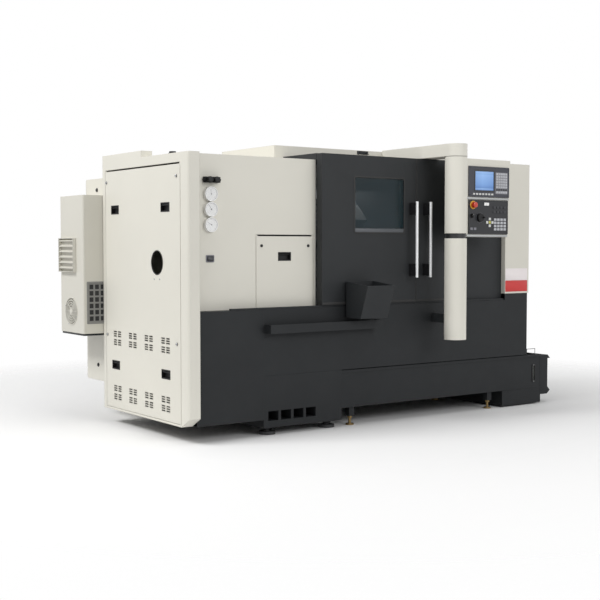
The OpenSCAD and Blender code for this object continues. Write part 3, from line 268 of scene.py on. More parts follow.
def plastic(name, color, rough, grain=900.0, bump=0.12, spread=0.05, coat=0.0, gloss=0.5):
    """Moulded plastic or rubber with a fine skin grain."""
    n = surface(name)
    co = n.coords()
    n.set(Base_Color=n.mottle(n.noise(co, 12.0, 2.0), color, 1.0 - spread, 1.0 + spread),
          Roughness=n.spread(n.noise(co, 40.0, 3.0), rough - 0.05, rough + 0.05),
          Coat_Weight=coat, Coat_Roughness=0.08, Specular_IOR_Level=gloss)
    n.bump(n.noise(co, grain, 1.0), bump, 0.0003, n.soft_edges(SMALL_EDGE))
    return n.owner


def metal(name, color, rough, stretch=(1.0, 60.0, 60.0), metallic=1.0):
    """Machined or brushed metal: fine streaks along one axis."""
    n = surface(name)
    mapping = n.add("Mapping", {"Vector": n.coords(), "Scale": stretch})
    streak = n.noise(mapping.outputs["Vector"], 9.0, 5.0, 0.65)
    n.set(Base_Color=n.mottle(streak, color, 0.93, 1.07, 0.25),
          Roughness=n.spread(streak, rough - 0.07, rough + 0.10, 0.2, 0.8), Metallic=metallic)
    n.bump(streak, 0.08, 0.0003, n.soft_edges(SMALL_EDGE))
    return n.owner


def casting(name, color):
    """Painted cast iron: lumpy skin and wide rounded edges."""
    n = surface(name)
    co = n.coords()
    lumps = n.noise(co, 90.0, 4.0, 0.6)
    n.set(Base_Color=n.mottle(n.noise(co, 3.0, 3.0), color, 0.9, 1.08),
          Roughness=n.spread(lumps, 0.42, 0.62))
    n.bump(lumps, 0.25, 0.0012, n.soft_edges(0.004))
    return n.owner


def foam(name, color):
    """Open filter foam: dark cells between pale struts."""
    n = surface(name)
    cells = {"Vector": n.coords(), "Scale": 260.0}
    inward = n.add("TexVoronoi", cells, feature="DISTANCE_TO_EDGE").outputs["Distance"]
    stops = [(0.0, tone(color, 2.4)), (0.22, color), (0.6, tone(color, 0.3))]
    n.set(Base_Color=n.ramp(inward, stops), Roughness=0.85)
    n.bump(inward, 0.6, 0.002)
    return n.owner


def pane(name, color, rough, alpha):
    """Tinted glass: mostly a dark reflecting sheet that lets a little through."""
    n = surface(name)
    smear = n.noise(n.coords(), 5.0, 3.0)
    n.set(Base_Color=n.mottle(smear, color, 0.85, 1.15),
          Roughness=n.spread(smear, rough, rough + 0.06), Alpha=alpha, IOR=1.5)
    return n.owner


def screen_material():
    """A plain blue display: a soft glow with paler bands and no signs."""
    n = surface("screen_glow")
    co = n.coords()
    axes = n.split(co)
    lo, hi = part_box("display_screen")
    up = n.spread(axes["Z"], 0.0, 1.0, lo.z, hi.z)
    across = n.spread(axes["X"], 0.0, 1.0, lo.x, hi.x)
    shade = n.ramp(up, [
        (0.0, (0.16, 0.29, 0.58)), (0.10, (0.25, 0.42, 0.72)), (0.12, (0.12, 0.24, 0.52)),
        (0.30, (0.18, 0.34, 0.66)), (0.80, (0.27, 0.45, 0.78)), (0.88, (0.22, 0.40, 0.72)),
        (0.90, (0.30, 0.48, 0.80)), (1.0, (0.26, 0.43, 0.74))])
    pool = n.ramp(across, [
        (0.0, (0.80, 0.82, 0.86)), (0.4, (1.0, 1.0, 1.0)), (1.0, (0.76, 0.80, 0.86))])
    glow = n.mix(1.0, shade, pool, "MULTIPLY")
    n.set(Base_Color=glow, Emission_Color=glow, Emission_Strength=0.26, Roughness=0.16)
    n.bump(n.noise(co, 1500.0, 1.0), 0.02, 0.0001)
    return n.owner


def column_material(color, neck, shade_from):
    """Cream paint that turns near black above a height: painted shade for the shadow in the
    column's recessed neck.
    """
    n = surface("cream_column")
    co = n.coords()
    # Above the neck's foot the colour is painted shade, not a second paint.
    band = n.math("GREATER_THAN", n.split(co)["Z"], shade_from)
    body = n.mottle(n.noise(co, 1.7, 3.0), color, 0.975, 1.025)
    n.set(Base_Color=n.mix(band, body, neck),
          Roughness=n.spread(n.noise(co, 9.0, 3.0), 0.34, 0.46, 0.25, 0.75))
    n.bump(n.noise(co, 380.0, 2.0), 0.09, 0.0006, n.soft_edges(0.003))
    return n.owner


CREAM = (0.735, 0.715, 0.640)
CHARCOAL = (0.0222, 0.0242, 0.0262)
# Near black used as painted shade in the column's recessed neck.
NECK_PAINTED_SHADE = (0.012, 0.012, 0.013)
NECK_H = 34.0
CREAM_COAT = dict(grain=380.0, peel=0.09, spread=0.02, edge=(0.80, 0.785, 0.72), radius=0.006)
CHARCOAL_COAT = dict(grain=300.0, peel=0.18, edge=(0.085, 0.086, 0.090))
PLATE_COAT = dict(grain=500.0, peel=0.05)
BRUSHED_Z = (60.0, 60.0, 1.0)

M = {
    "cream": paint("cream_paint", CREAM, 0.44, **CREAM_COAT),
    "cooler": paint("cooler_paint", tone(CREAM, 0.90), 0.46, **CREAM_COAT),
    "charcoal": paint("charcoal_paint", CHARCOAL, 0.50, spread=0.08, gloss=0.25, **CHARCOAL_COAT),
    "charcoal_low": paint("charcoal_paint_low", tone(CHARCOAL, 0.86), 0.54, spread=0.10, low_darkening=0.35,
                          gloss=0.22, **CHARCOAL_COAT),
    "casting": casting("painted_casting", (0.22, 0.23, 0.235)),
    "steel": metal("ground_steel", (0.42, 0.43, 0.44), 0.44),
    "turned": metal("turned_steel", (0.50, 0.51, 0.52), 0.26, (60.0, 1.0, 1.0)),
    "stainless": metal("chamber_sheet", (0.46, 0.47, 0.48), 0.38, BRUSHED_Z),
    "handle": metal("satin_handle", (0.80, 0.81, 0.82), 0.34, BRUSHED_Z, metallic=0.55),
    "alloy": metal("satin_alloy", (0.42, 0.43, 0.43), 0.36, metallic=0.8),
    "black": plastic("black_plastic", (0.009, 0.009, 0.010), 0.50, gloss=0.3),
    "gloss": plastic("black_gloss", (0.008, 0.008, 0.009), 0.22, coat=0.3),
    "rubber": plastic("seal_rubber", (0.011, 0.011, 0.011), 0.66, 500.0, 0.25),
    "bezel": plastic("bezel_grey", (0.040, 0.042, 0.055), 0.40),
    "panel": plastic("operator_black", (0.009, 0.010, 0.013), 0.40),
    "key": plastic("key_light", (0.50, 0.51, 0.54), 0.42),
    "key_pale": plastic("key_pale", (0.66, 0.67, 0.66), 0.40),
    "membrane": plastic("key_membrane", (0.27, 0.27, 0.30), 0.46),
    "key_grey": plastic("key_grey", (0.20, 0.20, 0.23), 0.44),
    "key_dark": plastic("key_dark", (0.022, 0.023, 0.028), 0.40),
    "white": plastic("gauge_white", (0.95, 0.95, 0.945), 0.30, coat=0.4, spread=0.015),
    "red": plastic("stop_red", (0.56, 0.035, 0.012), 0.28, coat=0.4),
    "yellow": plastic("ring_yellow", (0.80, 0.42, 0.03), 0.36),
    "jog": plastic("jog_yellow", (0.50, 0.47, 0.10), 0.40),
    "plate_red": paint("field_red", (0.60, 0.040, 0.038), 0.40, spread=0.03, **PLATE_COAT),
    "plate_white": paint("field_white", (0.88, 0.82, 0.82), 0.40, spread=0.015, **PLATE_COAT),
    "brass": metal("satin_brass", (0.26, 0.185, 0.085), 0.42),
    "iron": metal("black_iron", (0.045, 0.046, 0.048), 0.50, metallic=0.5),
    "zinc": metal("zinc_bolt", (0.55, 0.56, 0.57), 0.36),
    "glass": pane("window_pane", (0.004, 0.024, 0.034), 0.03, 0.42),
    "lens": pane("gauge_lens", (0.85, 0.86, 0.86), 0.02, 0.10),
    "sight": pane("sight_glass", (0.020, 0.024, 0.020), 0.05, 0.70),
    "sill": plastic("sill_grey", (0.085, 0.092, 0.102), 0.46),
    "ink": plastic("dial_ink", (0.16, 0.16, 0.17), 0.5),
    # Near-black matte for the insides of screw sockets: painted shade in the recesses.
    "inside": plastic("painted_socket_shade", (0.005, 0.005, 0.005), 0.8, gloss=0.2),
    "grille": paint("grille_grey", (0.24, 0.24, 0.23), 0.48, grain=300.0, peel=0.12, spread=0.06),
    "mat": foam("vent_mat", (0.020, 0.020, 0.020)),
    "foam": foam("filter_foam", (0.018, 0.018, 0.019)),
    "screen": screen_material(),
    # The column's neck band is painted shade.
    "column": column_material(CREAM, NECK_PAINTED_SHADE, (span("lower_column").z1 - NECK_H) * MM),
}

FINISH = {
    "cream": "front_left_cover access_panel end_cabinet end_cover_panel roof_cover right_cover "
             "rear_cover electrical_cabinet electrical_door overhead_arm upper_column control_box",
    "cooler": "cooling_housing cooling_hood fan_guard cooling_fan",
    "column": "lower_column",
    "charcoal": "parts_bin door_header recessed_panel column_bracket left_door_leaf "
                "right_door_leaf lower_door_rail",
    "charcoal_low": "front_apron lower_left_cover coolant_tank machine_base",
    "casting": "slant_bed headstock sub_headstock turret_saddle turret_slide",
    "steel": "guide_rails",
    "iron": "levelling_feet panel_screws",
    "turned": "main_spindle main_chuck sub_spindle turret_disc",
    "stainless": "chamber_walls",
    "black": "panel_grips regulator_body regulator_knob_left regulator_knob_right "
             "left_handle_brackets right_handle_brackets override_knob hand_dial",
    "grille": "cooling_filter",
    "bezel": "display_unit",
    "panel": "operator_panel",
    "key": "panel_keys",
    "white": "pressure_gauges",
    "handle": "left_door_handle right_door_handle",
    "glass": "left_door_window",
    "screen": "display_screen",
    "red": "estop_button",
    "brass": "tank_feet",
}
for finish, names in FINISH.items():
    for name in names.split():
        data = NODES[name].data
        data.materials.clear()
        data.materials.append(M[finish])


# Mesh helpers

@contextmanager
def piece(name, mats, slot, body="machine", smooth=40.0):
    """Lends a bmesh and makes it a piece that rides on a body; mats are keys of M."""
    bm = bmesh.new()
    yield bm
    bmesh.ops.recalc_face_normals(bm, faces=bm.faces)
    mesh = bpy.data.meshes.new(name)
    bm.to_mesh(mesh)
    bm.free()
    obj = bpy.data.objects.new(name, mesh)
    bpy.context.scene.collection.objects.link(obj)
    for key in mats.split():
        mesh.materials.append(M[key])
    mesh.shade_smooth()
    mesh.set_sharp_from_angle(angle=radians(smooth))
    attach(obj, body)


def turns(n):
    """Evenly spaced angles of a full turn."""
    return [2 * pi * i / n for i in range(n)]


def circle(r, n, start=0.0):
    """Evenly spaced points on a circle, from an angle in degrees."""
    angles = [radians(start) + t for t in turns(n)]
    return [(r * cos(t), r * sin(t)) for t in angles]


def rounded(rect, grow, r, n=5):
    """The outline of a rectangle (u0, u1, v0, v1) that is grown and has round corners."""
    u0, u1, v0, v1 = rect[0] - grow, rect[1] + grow, rect[2] - grow, rect[3] + grow
    corners = ((u1 - r, v1 - r, 0), (u0 + r, v1 - r, 90), (u0 + r, v0 + r, 180),
               (u1 - r, v0 + r, 270))
    steps = [radians(90.0 * i / n) for i in range(n + 1)]
    return [(cu + r * cos(radians(a) + t), cv + r * sin(radians(a) + t))
            for cu, cv, a in corners for t in steps]


def front(y):
    """Places (x, z) outlines on a plane that looks along -Y."""
    return lambda u, v, d: (u, y - d, v)


def rear(y):
    """Places (x, z) outlines on a plane that looks along +Y."""
    return lambda u, v, d: (u, y + d, v)


def left(x):
    """Places (y, z) outlines on a plane that looks along -X."""
    return lambda u, v, d: (x - d, u, v)


def add_box(bm, lo, hi, bevel=1.0, mat=0, segments=2):
    """A box between two corners, with rounded edges."""
    start = len(bm.faces)
    verts = bmesh.ops.create_cube(bm, size=1.0)["verts"]
    a, b = pt(*lo), pt(*hi)
    bmesh.ops.scale(bm, vec=b - a, verts=verts)
    bmesh.ops.translate(bm, vec=(a + b) / 2, verts=verts)
    edges = list({e for v in verts for e in v.link_edges})
    bmesh.ops.bevel(bm, geom=edges, offset=bevel * MM, segments=segments, affect="EDGES",
                    profile=0.5)
    bm.faces.ensure_lookup_table()
    for f in bm.faces[start:]:
        f.material_index = mat


def bridge(bm, a, b, mat=0):
    """Faces between two rings of verts; a ring of one vert makes a fan."""
    n = max(len(a), len(b))
    for i in range(n):
        j = (i + 1) % n
        if len(a) == 1:
            corners = (a[0], b[j], b[i])
        elif len(b) == 1:
            corners = (a[i], a[j], b[0])
        else:
            corners = (a[i], a[j], b[j], b[i])
        bm.faces.new(corners).material_index = mat


def add_stack(bm, outlines, mat=0):
    """A solid with outlines of equal length stacked from its foot to its top."""
    rings = [[bm.verts.new(p) for p in outline] for outline in outlines]
    for a, b in zip(rings, rings[1:]):
        bridge(bm, a, b, mat)
    bm.faces.new(rings[0][::-1]).material_index = mat
    bm.faces.new(rings[-1]).material_index = mat


def add_lathe(bm, profile, origin, axis, segments, mat=0):
    """Revolves (radius, height) points about an axis through a point."""
    z = Vector(axis).normalized()
    x = z.orthogonal().normalized()
    y = z.cross(x)
    base = pt(*origin)
    rings = []
    for r, h in profile:
        arms = [(x * cos(t) + y * sin(t)) * r for t in turns(segments if r else 1)]
        rings.append([bm.verts.new(base + (z * h + arm) * MM) for arm in arms])
    for a, b in zip(rings, rings[1:]):
        bridge(bm, a, b, mat)


def add_bar(bm, a, b, r, segments=10, mat=0):
    """A round bar between two points."""
    a, b = pt(*a), pt(*b)
    along = (b - a).normalized()
    side = along.orthogonal().normalized()
    up = along.cross(side)
    arms = [(side * cos(t) + up * sin(t)) * r * MM for t in turns(segments)]
    add_stack(bm, [[p + arm for arm in arms] for p in (a, b)], mat)


def add_frame(bm, place, rect, outside, inside, depth, lip):
    """A closed ring with a crowned face; outside and inside say how the rectangle is rounded."""
    outer, inner = rounded(rect, *outside), rounded(rect, *inside)

    def between(k):
        return [(o[0] * k + i[0] * (1 - k), o[1] * k + i[1] * (1 - k))
                for o, i in zip(outer, inner)]

    levels = [(inner, 0.0), (outer, 0.0), (outer, depth - lip), (between(0.75), depth),
              (between(0.25), depth), (inner, depth - lip)]
    rings = [[bm.verts.new(pt(*place(u, v, d))) for u, v in line] for line, d in levels]
    for a, b in zip(rings, rings[1:] + rings[:1]):
        bridge(bm, a, b)


def add_plate(bm, place, rect, r, depth, lip=0.6, mat=0):
    """A solid plate with round corners and a softened front edge."""
    outline = rounded(rect, 0, r)
    us, vs = zip(*outline)
    cu, cv = (min(us) + max(us)) / 2, (min(vs) + max(vs)) / 2
    ku = 1 - 2 * lip / (max(us) - min(us))
    kv = 1 - 2 * lip / (max(vs) - min(vs))
    small = [(cu + (u - cu) * ku, cv + (v - cv) * kv) for u, v in outline]
    levels = ((outline, 0.0), (outline, depth - lip), (small, depth))
    add_stack(bm, [[pt(*place(u, v, d)) for u, v in line] for line, d in levels], mat)


def add_tick(bm, dial, y, angle, r0, r1, width):
    """A thin bar that points away from a dial's centre, on a plane that looks along -Y."""
    thick = 0.25
    c, s = cos(angle), sin(angle)
    rim = [(r0, -0.5), (r1, -0.5), (r1, 0.5), (r0, 0.5)]
    outline = [(dial.cx + c * r - s * k * width, dial.cz + s * r + c * k * width) for r, k in rim]
    add_stack(bm, [[pt(u, y - d, v) for u, v in outline] for d in (0.0, thick)])


def add_ribs(bm, knob, r, y0, y1, count, rib_r):
    """Ribs along Y round a knob's rim."""
    for u, v in circle(r, count):
        x, z = knob.cx + u, knob.cz + v
        add_bar(bm, (x, y0, z), (x, y1, z), rib_r, 8)


def socket_screw(bm, origin, axis, r, h, mat=0, dark=1):
    """A button head with a hexagon socket whose walls and floor are painted near black as shade."""
    hole, floor = r * 0.5, h * 0.35
    crown = [(0, 0), (r, 0), (r, h * 0.45), (r * 0.92, h * 0.8), (r * 0.7, h), (hole, h)]
    add_lathe(bm, crown, origin, axis, 20, mat)
    # The socket's walls and floor take the near-black material: painted shade.
    add_lathe(bm, [(hole, h), (hole, floor), (0, floor)], origin, axis, 6, dark)


def screw_grid(bm, xs, ys, zs, axis, r, h):
    """A socket screw at every mix of the given places."""
    for place in product(xs, ys, zs):
        socket_screw(bm, place, axis, r, h)


def hex_bolt(bm, origin, axis, r, h):
    """A hexagon head on a washer."""
    washer_r, washer_h = r * 1.35, h * 0.2
    washer = [(0, 0), (washer_r, 0), (washer_r, washer_h), (r * 0.9, washer_h)]
    add_lathe(bm, washer, origin, axis, 24)
    add_lathe(bm, [(r, washer_h), (r, h * 0.85), (r * 0.88, h), (0, h)], origin, axis, 6)


# Doors

def build_window():
    """Rubber gasket round the window and a strip along the foot of its pane."""
    leaf = span("left_door_leaf")
    glass = span("left_door_window")
    lap, half_w, strip_h = 14.0, 6.0, 30.0
    sight = (glass.x0 + lap, glass.x1 - lap, glass.z0 + lap, glass.z1 - lap)
    with piece("window_gasket", "rubber", "black_plastic", "left_door") as bm:
        add_frame(bm, front(leaf.y0 + 2 * SINK), sight, (half_w, 16), (-half_w, 9), 3.2, 1.4)
    x0, x1, foot, _ = sight
    y, top = glass.y0 - 2.5, foot + strip_h
    with piece("window_sill", "sill", "black_plastic", "left_door") as bm:
        add_box(bm, (x0 + 5, glass.y0 - 3, foot + 5), (x1 - 5, glass.y0 + SINK, top), 1.2)
        add_bar(bm, (x0 + 6, y, top), (x1 - 6, y, top), 1.6)


def build_seals():
    """Brush seals on the leaves' meeting edges and a wiper along their feet."""
    seal_w, inset = 5.0, 1.5
    for side in ("left", "right"):
        body = side + "_door"
        leaf = span(side + "_door_leaf")
        x0 = leaf.x1 - inset - seal_w if side == "left" else leaf.x0 + inset
        y1 = leaf.y0 + SINK
        with piece(side + "_meeting_seal", "rubber", "black_plastic", body) as bm:
            add_box(bm, (x0, leaf.y0 - 1.2, leaf.z0 + 6), (x0 + seal_w, y1, leaf.z1 - 4), 0.5)
        with piece(side + "_foot_strip", "rubber", "black_plastic", body) as bm:
            add_box(bm, (leaf.x0 + 2, leaf.y0 - 1.6, leaf.z0 + 1),
                    (leaf.x1 - 2, y1, leaf.z0 + 19), 0.7)


def build_handles():
    """End caps on the pull bars and clamp screws in their brackets."""
    for side in ("left", "right"):
        body = side + "_door"
        bar = span(side + "_door_handle")
        r = bar.w / 2 + 0.3
        cap = [(0, 0), (r, 0), (r, 1.6), (r * 0.9, 3.0), (r * 0.62, 3.6), (0, 3.6)]
        with piece(side + "_handle_caps", "black", "black_plastic", body) as bm:
            add_lathe(bm, cap, (bar.cx, bar.cy, bar.z1), UP, 28)
            add_lathe(bm, cap, (bar.cx, bar.cy, bar.z0), DOWN, 28)
        with piece(side + "_bracket_screws", "black inside", "machined_steel", body) as bm:
            for bracket in islands(side + "_handle_brackets"):
                zs = [bracket.z0 + k * bracket.h for k in (0.22, 0.78)]
                for x, axis in ((bracket.x0, LEFT), (bracket.x1, RIGHT)):
                    screw_grid(bm, [x], [bracket.y1 - 26], zs, axis, 5.0, 3.0)


# Control box

def build_stop():
    """Emergency stop: collar on the panel and a domed cap on the button's head."""
    stop = span("estop_button")
    face = span("operator_panel").y0
    bore, rim, r = 12.6, 29.0, stop.w / 2 + 0.05
    collar = [(bore, 0), (rim, 0), (rim, 1.6), (rim - 1.5, 2.6), (r + 2, 2.6), (r + 1, 0.7),
              (bore, 0.7), (bore, 0)]
    with piece("stop_collar", "yellow", "stop_red", "control") as bm:
        add_lathe(bm, collar, (stop.cx, face, stop.cz), FRONT, 40)
    dome = [(r, -2), (r, 0), (r - 1, 2.2), (r - 5, 4.4), (8, 5.4), (0, 5.7)]
    with piece("stop_dome", "red", "stop_red", "emergency_stop", 60) as bm:
        add_lathe(bm, dome, (stop.cx, stop.y0, stop.cz), FRONT, 40)


def build_panels():
    """Screen border, raised rims and corner screws of the two units, and the box's alloy strips."""
    screen = span("display_screen")
    bezel = span("display_unit")
    panel = span("operator_panel")
    box = span("control_box")
    border, rim, inset, gap = 9.0, 6.0, 12.0, 3.0
    with piece("screen_border", "gloss", "black_plastic", "control") as bm:
        add_frame(bm, front(bezel.y0), screen.face, (border, 6), (0, 3), 2.0, 0.8)
    for name, unit, key in (("display", bezel, "bezel"), ("operator", panel, "panel")):
        with piece(name + "_rim", key, "black_plastic", "control") as bm:
            add_frame(bm, front(unit.y0), unit.face, (0, 5), (-rim, 3), 1.6, 0.8)
        with piece(name + "_screws", "key_dark inside", "machined_steel", "control") as bm:
            screw_grid(bm, (unit.x0 + inset, unit.x1 - inset), [unit.y0],
                       (unit.z0 + inset, unit.z1 - inset), FRONT, 3.6, 1.8)
    strips = ((bezel.x1, panel.z1 + gap, bezel.z0 - gap), (panel.x1, box.z0 + 1, panel.z0 - gap))
    with piece("box_strips", "alloy", "machined_steel", "control") as bm:
        for x1, z0, z1 in strips:
            add_box(bm, (bezel.x0 - 14, box.y0 - 5, z0), (x1, box.y0 + SINK, z1), 3.6, 0, 4)


def panel_key_finish(key, panel):
    """The colour of a key from its place on the operator panel."""
    up = (key.cz - panel.z0) / panel.h
    across = (key.cx - panel.x0) / panel.w
    if up > 0.8:
        return "white"
    if up > 0.55:
        return "key_dark"
    if across < 0.3:
        return "key_grey"
    if across < 0.62:
        middle = abs(across - 0.528) < 0.02 and abs(up - 0.346) < 0.03
        return "jog" if middle else "key_pale"
    return "key"


def build_keys():
    """Moulded caps, one for each CAD key, and the membrane under the typing keys."""
    bezel = span("display_unit")
    screen = span("display_screen")
    panel = span("operator_panel")
    colours = ["key", "key_pale", "key_grey", "key_dark", "white", "jog"]
    grow, margin, pitch, dark_row = 0.3, 5.0, 18.5, 3
    typing = []
    with piece("key_caps", " ".join(colours), "light_plastic", "control") as bm:
        for key in islands("panel_keys"):
            if abs(key.y1 - bezel.y0) >= 1.0:
                finish = panel_key_finish(key, panel)
            elif key.cx < screen.x1 + 10:
                finish = "key_pale"
            else:
                typing.append(key)
                finish = "key_dark" if round((key.cz - bezel.z0) / pitch) == dark_row else "key"
            lo = (key.x0 - grow, key.y0 - 0.8, key.z0 - grow)
            hi = (key.x1 + grow, key.y1 + 0.05, key.z1 + grow)
            add_box(bm, lo, hi, 1.3, colours.index(finish), 3)
    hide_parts("panel_keys")
    field = union(typing)
    rect = (field.x0 - margin, field.x1 + margin, field.z0 - margin, field.z1 + margin)
    with piece("key_membrane", "membrane", "light_plastic", "control") as bm:
        add_plate(bm, front(bezel.y0), rect, 4, 1.2, 0.5)


def build_dials():
    """Scales on the panel, ribs round the hand dial and a pointer on the override knob."""
    face = span("operator_panel").y0
    dial = span("hand_dial")
    knob = span("override_knob")
    dial_r, knob_r = dial.h / 2, knob.h / 2
    with piece("dial_scales", "key_grey", "light_plastic", "control") as bm:
        for i, angle in enumerate(turns(40)):
            add_tick(bm, dial, face, angle, dial_r + 5, dial_r + (10 if i % 5 else 12), 1.0)
        for i in range(16):
            add_tick(bm, knob, face, radians(-45 + 18 * i), knob_r + 2, knob_r + 6, 1.0)
    ring = [(24, 0), (24, 1.0), (22.5, 1.4), (21, 1.0), (21, 0)]
    with piece("dial_grip", "black", "black_plastic", "dial") as bm:
        add_ribs(bm, dial, dial_r, face - 2, face - 14, 36, 1.1)
        add_lathe(bm, ring, (dial.cx, face - 16.3, dial.cz), FRONT, 40)
    with piece("override_pointer", "white", "light_plastic", "override") as bm:
        add_tick(bm, knob, knob.y0, pi / 2, 3, knob_r - 2, 1.6)


def build_box_back():
    """Bolted lid on the back of the control box."""
    box = span("control_box")
    column_side, margin, inset, lid_t = 60.0, 24.0, 14.0, 2.0
    x0, x1 = box.x0 + column_side, box.x1 - margin
    z0, z1 = box.z0 + margin, box.z1 - margin
    with piece("box_lid", "cream", "cream_paint", "control") as bm:
        add_plate(bm, rear(box.y1), (x0, x1, z0, z1), 8, lid_t)
    with piece("box_lid_screws", "zinc inside", "machined_steel", "control") as bm:
        screw_grid(bm, (x0 + inset, (x0 + x1) / 2, x1 - inset), [box.y1 + lid_t],
                   (z0 + inset, z1 - inset), BACK, 5.0, 2.6)


# Headstock cover

def build_gauges():
    """Bezel, scale, needle and lens of each pressure gauge."""
    rim_w, recess = 4.0, 3.0
    hub = [(0, 0), (4, 0), (4, 1.2), (3, 1.8), (0, 1.8)]
    for i, gauge in enumerate(islands("pressure_gauges")):
        name = "gauge_%d_" % (i + 1)
        mouth = (gauge.cx, gauge.y0, gauge.cz)
        face = gauge.y0 + recess
        r = gauge.w / 2
        well = r - rim_w
        rim = [(well - 0.5, -2.8), (well - 0.5, 0.6), (well + 0.5, 1.6), (r - 1, 1.6),
               (r + 0.3, 0.4), (r + 0.3, -5)]
        with piece(name + "bezel", "white", "light_plastic") as bm:
            add_lathe(bm, rim, mouth, FRONT, 48)
        with piece(name + "scale", "ink", "black_plastic") as bm:
            for k in range(31):
                start = well - (6 if k % 5 else 9)
                add_tick(bm, gauge, face, radians(225 - 9 * k), start, well - 2.5, 0.9)
            add_tick(bm, gauge, face - 0.5, radians(150 - 25 * i), -7, well - 10, 1.4)
            add_lathe(bm, hub, (gauge.cx, face, gauge.cz), FRONT, 20)
        lens_r, mid_r = well - 0.6, well * 0.6
        dome = [(lens_r, -0.9), (lens_r, -0.1), (mid_r, 0.5), (0, 0.7)]
        under = [(0, -0.3), (mid_r, -0.5), (lens_r, -0.9)]
        with piece(name + "lens", "lens", "tinted_window", smooth=60) as bm:
            add_lathe(bm, dome, mouth, FRONT, 48)
            add_lathe(bm, under, mouth, FRONT, 48)


def build_regulators():
    """Ribs and caps on the pressure knobs and plugs in the ends of their manifold."""
    manifold = span("regulator_body")
    plug = [(0, 0), (12, 0), (12, 5), (10.5, 6.5), (0, 6.5)]
    with piece("manifold_plugs", "black", "black_plastic") as bm:
        for x, axis in ((manifold.x0, LEFT), (manifold.x1, RIGHT)):
            add_lathe(bm, plug, (x, manifold.cy, manifold.cz), axis, 6)
    for side in ("left", "right"):
        knob = span("regulator_knob_" + side)
        r = knob.w / 2
        cap = [(r * 0.95, -0.5), (r * 0.95, 0.8), (r * 0.85, 1.8), (r * 0.5, 2.0), (r * 0.45, 1.2),
               (0, 1.2)]
        with piece("knob_grip_" + side, "black", "black_plastic", "pressure_knob_" + side) as bm:
            add_ribs(bm, knob, r, knob.y0 + 2, knob.y0 + 24, 24, 1.2)
            add_lathe(bm, cap, (knob.cx, knob.y0, knob.cz), FRONT, 32)


def build_socket():
    """Service socket with a hinged flap, under the gauges."""
    gauge = islands("pressure_gauges")[0]
    plane = span("front_left_cover").y0
    half_w, half_h, drop = 30.0, 23.0, 212.0
    x, z = gauge.cx, gauge.cz - drop
    x0, x1, z0, z1 = x - half_w, x + half_w, z - half_h, z + half_h
    pin_y, pin_z = plane - 9, z1 - 8
    with piece("service_socket", "key_grey key_dark zinc inside", "black_plastic") as bm:
        add_plate(bm, front(plane), (x0, x1, z0, z1), 6, 4.0, 1.2)
        flap = (x0 + 8, x1 - 8, z0 + 7, z1 - 9)
        add_plate(bm, front(plane - 3.8), flap, 4, 9.0, 2.0, 1)
        add_bar(bm, (x - 20, pin_y, pin_z), (x + 20, pin_y, pin_z), 3.0, 12, 1)
        for screw_x in (x0 + 4.5, x1 - 4.5):
            socket_screw(bm, (screw_x, plane - 4, z0 + 5), FRONT, 2.6, 1.4, 2, 3)


# Left end

def build_panel_screws():
    """Button heads on the panel screws, and two small screws under the bar hole."""
    heads = islands("panel_screws")
    head_t = 4.8
    with piece("end_screw_heads", "zinc inside", "machined_steel") as bm:
        for head in (h for h in heads if h.w < h.d):
            socket_screw(bm, (head.x0, head.cy, head.cz), LEFT, 8.6, 2.4)
    with piece("access_screw_heads", "black inside", "machined_steel") as bm:
        for head in (h for h in heads if h.w >= h.d):
            socket_screw(bm, (head.cx, head.y0 + head_t, head.cz), FRONT, 9.3, head_t + 2.2)
    axis = span("main_spindle")
    plane = span("end_cover_panel").x0
    with piece("bar_hole_screws", "zinc inside", "machined_steel") as bm:
        screw_grid(bm, [plane], (axis.cy - 35, axis.cy + 36), [axis.cz - 105], LEFT, 6.0, 2.6)


def build_bar_hole():
    """Edge trim round the hole where bar stock comes in."""
    axis = span("main_spindle")
    panel = span("end_cover_panel")
    r = 74.0
    trim = [(r - 1.5, -4), (r - 1.5, 1.2), (r - 0.3, 2.2), (r + 3.5, 2.2), (r + 5, 1.2), (r + 5, 0)]
    with piece("bar_hole_trim", "rubber", "black_plastic") as bm:
        add_lathe(bm, trim, (panel.x0, axis.cy, axis.cz), LEFT, 64)


def build_grip_bars():
    """A finger bar across the mouth of each recessed grip."""
    inward, inset = 7.0, 6.0
    with piece("grip_bars", "black", "black_plastic") as bm:
        for cup in islands("panel_grips"):
            if cup.w < cup.d:
                x, z = cup.x0 + inward, cup.z1 - 16
                add_bar(bm, (x, cup.y0 + inset, z), (x, cup.y1 - inset, z), 4.0, 12)
            else:
                y, z = cup.y0 + inward, cup.z1 - 14
                add_bar(bm, (cup.x0 + inset, y, z), (cup.x1 - inset, y, z), 3.2, 12)


def build_vents():
    """Pressed collars round the slots of the end panel and filter mats behind them."""
    panel = span("end_cover_panel")
    shortest, longest, tallest = 30, 60, 12
    slots = [hole for hole in holes("end_cover_panel")
             if shortest < hole.d < longest and hole.h < tallest]
    wide, corner_steps, pleat_w = 2.2, 4, 24.0
    with piece("vent_collars", "cream", "cream_paint", smooth=50) as bm:
        for slot in slots:
            r = slot.h / 2
            outside, inside = (wide, r + wide, corner_steps), (-0.2, r - 0.25, corner_steps)
            add_frame(bm, left(panel.x0), slot.end, outside, inside, 1.4, 0.6)
    middle = union(slots).cz
    x = panel.x1 + 3.0
    with piece("vent_mats", "mat", "black_plastic") as bm:
        for row in ([s for s in slots if s.cz < middle], [s for s in slots if s.cz > middle]):
            vents = union(row)
            y0, y1, z0, z1 = vents.y0 - 12, vents.y1 + 12, vents.z0 - 10, vents.z1 + 10
            add_plate(bm, left(x), (y0, y1, z0, z1), 6, 2.4)
            pleats = int((y1 - y0) // pleat_w)
            for i in range(pleats):
                y = y0 + (i + 0.5) * (y1 - y0) / pleats
                add_bar(bm, (x, y, z0 + 4), (x, y, z1 - 4), 2.2, 8)


